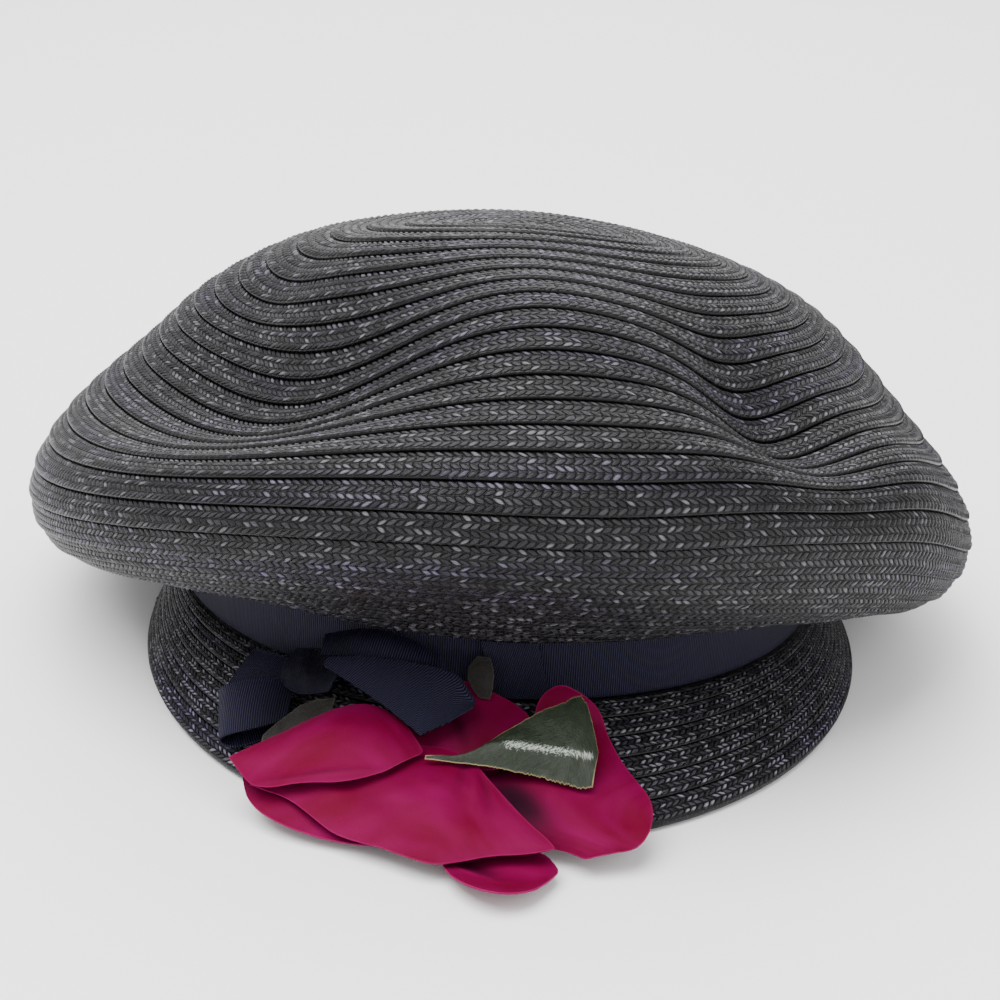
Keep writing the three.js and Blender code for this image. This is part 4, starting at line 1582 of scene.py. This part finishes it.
@dataclass
class Ribbons:
    """The grosgrain band round the stand, the strip that crosses it, and the flat bow."""

    width: float = 15.7
    lift: float = 0.8
    thick: float = 0.8
    selvedge: float = 0.25
    selvedge_width: float = 0.8
    wave: float = 0.12
    wave_size: float = 60.0
    wave_round: float = 90.0
    turn_length: float = 93.0
    segments: int = 720
    strip_from: float = -1.0
    strip_to: float = 8.0
    strip_slant: float = 2.5
    strip_low: float = 1.2
    strip_high: float = 14.6
    strip_thick: float = 0.5
    strip_lift: float = 1.4

    def band(self, ribbon: Material) -> Thing:
        """Makes the band as a closed ring of ribbon with thick selvedges.

        Args:
            ribbon: The ribbon's material.

        Returns:
            The piece.
        """
        turns = even_turns(self.segments)
        inner = SHAPE.wall + SHAPE.gap
        low, high = self.lift, self.lift + self.width
        profile = [(inner, high), (inner, low)]
        for z in np.linspace(low, high, 13):
            near = min(z - low, high - z) / self.selvedge_width
            profile.append((inner + self.thick + self.selvedge * math.exp(-(near**2)), z))
        points = np.stack([SHAPE.stand(turns, out, z) for out, z in profile])
        around = np.cos(turns) * self.wave_round, np.sin(turns) * self.wave_round
        wave = self.wave * ripple(*around, 12, self.wave_size)
        points[2:] += wave[None, :, None] * unit(points[2:] * [1, 1, 0])
        heights = np.array([z for _, z in profile])
        faces = grid_faces(len(profile) + 1, self.segments, True) % (len(profile) * self.segments)
        parts = MeshParts()
        parts.add(points, faces[:, ::-1], plan_of(turns * self.turn_length, heights[:, None]))
        thing = parts.piece("ribbon_band", "hat_band", ribbon, "ribbon")
        return thing

    def cross_strip(self, ribbon: Material) -> Thing:
        """Makes the slanting strip that lies across the band beside the bow.

        Args:
            ribbon: The ribbon's material.

        Returns:
            The piece.
        """
        share = np.linspace(0, 1, 30)[:, None]
        high = np.linspace(0, 1, 20)[None, :]
        degrees = self.strip_from + (self.strip_to - self.strip_from) * share
        turns = np.radians(degrees + self.strip_slant * (0.5 - high))
        z = self.strip_low + self.strip_high * np.broadcast_to(high, turns.shape)
        inner = SHAPE.wall + SHAPE.gap + self.strip_lift
        parts = MeshParts()
        plan = plan_of(share * 16 - high * 9, high * 14)
        faces = grid_faces(30, 20)
        parts.add(SHAPE.stand(turns, inner + self.strip_thick, z), faces, plan)
        parts.add(SHAPE.stand(turns, inner, z), faces[:, ::-1], plan)
        thing = parts.piece("ribbon_cross_strip", "band_cross_strip", ribbon, "ribbon")
        return thing

    def bow(self) -> Iterator[ClothSheet]:
        """Gives the pieces of the bow, flat loops and tails of the same ribbon.

        Yields:
            The pieces.
        """
        cloth = partial(ClothSheet, thick=0.5, rim=0.12)
        yield cloth(
            "bow_front_ribbon", "bow_front_tail", (18, 34), Held.FOLDED, ("petal_left",),
            table(
                "u v0 v1 w0 w1 bulge",
                (-31, -17.5, -15, 11.4, 11.4, 0),
                (-23, -18.5, -11, 12.0, 11.0, 0.3),
                (-13, -18.5, -5, 12.4, 11.2, 0.4),
                (-4, -18, 1.5, 12.2, 11.4, 0.4),
                (2, -16.5, -3.5, 11.8, 11.2, 0.3),
                (7, -10.5, -8.5, 11.4, 11.2, 0),
            ),
            wrinkle=0.2, seed=12, rib_turn=33.0, straight=True, fray=0.012,
        )
        yield cloth(
            "bow_top_ribbon", "bow_top_loop", (10, 29), Held.FOLDED, ("bow_front_tail",),
            table(
                "u v0 v1 w0 w1 bulge",
                (-33, -25, -19.3, 10.2, 10.0, 0.4),
                (-23, -27, -19.4, 11.6, 11.0, 1.0),
                (-12, -25.5, -19.5, 11.4, 11.2, 0.8),
                (-4, -22.5, -19.5, 10.6, 10.8, 0),
            ),
            wrinkle=0.3, seed=13, rib_turn=10.0,
            # Painted shade over the loop's left end, with no fold in the shape.
            folds=(
                Fold(-30, -22, 0, 8, 10, 0, -0.25),
            ),
        )
        yield cloth(
            "bow_knot_ribbon", "bow_knot", (18, 17), Held.GATHERED, ("bow_left_loop",),
            table(
                "u v0 v1 w0 w1 bulge",
                (-8, -12.5, -4.4, 6.9, 6.6, 0.2),
                (-2, -14, -1, 7.6, 7.2, 0.5),
                (4, -14, -1.5, 8.6, 7.4, 0.5),
                (9, -13, -3.5, 9.2, 8.0, 0.6),
            ),
            seat=BOW_SEAT, wrinkle=0.3, wrinkle_size=9, seed=14,
            # Painted shadow over the knot, with no fold in the shape.
            folds=(
                Fold(1, -8, 0, 14, 12, 0, -0.42),
            ),
        )
        yield cloth(
            "bow_left_ribbon", "bow_left_loop", (15, 38), Held.FOLDED, ("peak",),
            table(
                "u0 v0 w0 u1 v1 w1 bulge",
                (-4, -4, 4.2, 1, 6, 5.6, 0),
                (-12, -1.5, 6.8, -4, 11, 6.4, 0.5),
                (-19, 2.5, 6.6, -10.5, 15, 5.8, 0.5),
                (-22, 4, 4.0, -13.5, 16.5, 3.4, 0),
                (-18, 3, 1.6, -10, 15.5, 1.4, 0),
                (-9, 0, 1.2, -3, 10, 1.2, 0),
            ),
            seat=BOW_SEAT, wrinkle=0.12, seed=15,
            # Painted shade under the loop, with no fold in the shape.
            folds=(
                Fold(-2, 2, 0, 6, 14, 0, -0.35),
            ),
        )
        yield cloth(
            "bow_left_end", "bow_left_tail", (12, 20), Held.LAID, ("peak",),
            table(
                "u0 v0 w0 u1 v1 w1 bulge",
                (-23, -12, 1.7, -25, 0, -0.5, 0.3),
                (-15, -12, 2.5, -13, -4.5, 1.5, 0.3),
                (-6, -11.5, 2.5, -4, -5.5, 1.5, 0),
            ),
            seat=BOW_SEAT, wrinkle=0.15, seed=16,
        )

    def build(self, ribbon: Material) -> list[Thing]:
        """Makes the band, the strip and the bow.

        Args:
            ribbon: The ribbon's material.

        Returns:
            The pieces.
        """
        made = [self.band(ribbon), self.cross_strip(ribbon)]
        made += [piece.build(ribbon, "ribbon") for piece in self.bow()]
        return made


@dataclass
class Studio:
    """The pale floor, the soft light and the camera."""

    eye: Triple = (0.21, -604.51, 296.68)
    aim: Triple = (0.11, 4.57, 37.32)
    roll: float = 2.56
    lens: float = 86.94
    floor: Triple = (0.93, 0.93, 0.93)
    floor_size: float = 6.0
    daylight: float = 1.2
    lamps: tuple[tuple[str, Triple, float, float], ...] = (
        ("key", (-0.35, -0.35, 1.25), 1.1, 38.0),
        ("fill", (0.7, -0.9, 0.6), 1.0, 6.0),
        ("back", (0.1, 0.9, 0.9), 1.2, 14.0),
    )

    def build(self) -> None:
        """Makes the floor, lights, world and camera."""
        self.make_camera()
        self.make_floor()
        self.make_lights()

    def make_camera(self) -> None:
        """Makes the camera at the photograph's angle."""
        data = bpy.data.cameras.new("camera")
        data.lens = self.lens
        data.sensor_width = 36.0
        data.clip_start = 0.01
        data.clip_end = 50.0
        thing = put("camera", data)
        eye = Vector(self.eye) * MM
        look = (Vector(self.aim) * MM - eye).normalized()
        turn = look.to_track_quat("-Z", "Y")
        roll = Matrix.Rotation(math.radians(self.roll), 4, "Z")
        thing.matrix_world = Matrix.Translation(eye) @ turn.to_matrix().to_4x4() @ roll
        bpy.context.scene.camera = thing

    def make_floor(self) -> None:
        """Makes a wide pale floor."""
        mesh = bpy.data.meshes.new("floor")
        x = self.floor_size
        mesh.from_pydata([(-x, -x, 0), (x, -x, 0), (x, x, 0), (-x, x, 0)], [], [(0, 1, 2, 3)])
        sheet = NodeSheet("pale_floor")
        sheet.surface(Base_Color=(*self.floor, 1.0), Roughness=0.9)
        mesh.materials.append(sheet.material)
        put("floor", mesh)

    def make_lights(self) -> None:
        """Makes a soft key from above, a low fill, and an even pale world."""
        for name, place, size, power in self.lamps:
            data = bpy.data.lights.new(name, "AREA")
            data.energy = power
            data.size = size
            thing = put(name, data)
            thing.location = place
            look = Vector((0, 0, 0.05)) - Vector(place)
            thing.rotation_euler = look.to_track_quat("-Z", "Y").to_euler()
        world = bpy.data.worlds.new("studio")
        world.use_nodes = True
        background = world.node_tree.nodes["Background"]
        background.inputs["Color"].default_value = (1.0, 1.0, 1.0, 1.0)
        background.inputs["Strength"].default_value = self.daylight
        bpy.context.scene.world = world


def main() -> None:
    """Builds the cap and its studio."""
    logging.basicConfig(level=logging.INFO, format="%(message)s")
    Studio().build()
    straw = StrawFinish().make()
    ribbon = GrosgrainFinish().make()
    silk = SilkFinish().make()
    green = LeafFinish(
        "green_leaf",
        deep=(0.003, 0.0065, 0.0022),
        light=(0.012, 0.018, 0.008),
        # Pale colour for the painted highlight along the fold.
        wear_and_highlight=(0.3, 0.33, 0.29),
        frayed=(0.2, 0.165, 0.075),
        roughness=0.5,
        coat=0.06,
    ).make()
    brown = LeafFinish(
        "brown_leaf",
        deep=(0.004, 0.0035, 0.003),
        light=(0.011, 0.0095, 0.008),
        wear_and_highlight=(0.05, 0.045, 0.04),
        frayed=(0.06, 0.052, 0.038),
        roughness=0.65,
        coat=0.0,
    ).make()
    thread = PlainFinish("sewing_thread", (0.03, 0.03, 0.034), (0.09, 0.09, 0.1)).make()
    made = Crown().build(straw)
    # The peak's straw is paler, with more painted glints.
    peak_straw = StrawFinish(
        "peak_straw",
        body=(0.021, 0.0195, 0.026),
        wear_and_highlight=(0.07, 0.066, 0.08),
        painted_glint=(0.3, 0.29, 0.33),
        shine=0.22,
    ).make()
    made += Peak().build(peak_straw, thread)
    made += Ribbons().build(ribbon)
    made += Rose().build(silk, green, brown)
    LOG.info("%d pieces", len(made))


if __name__ == "__main__":
    main()
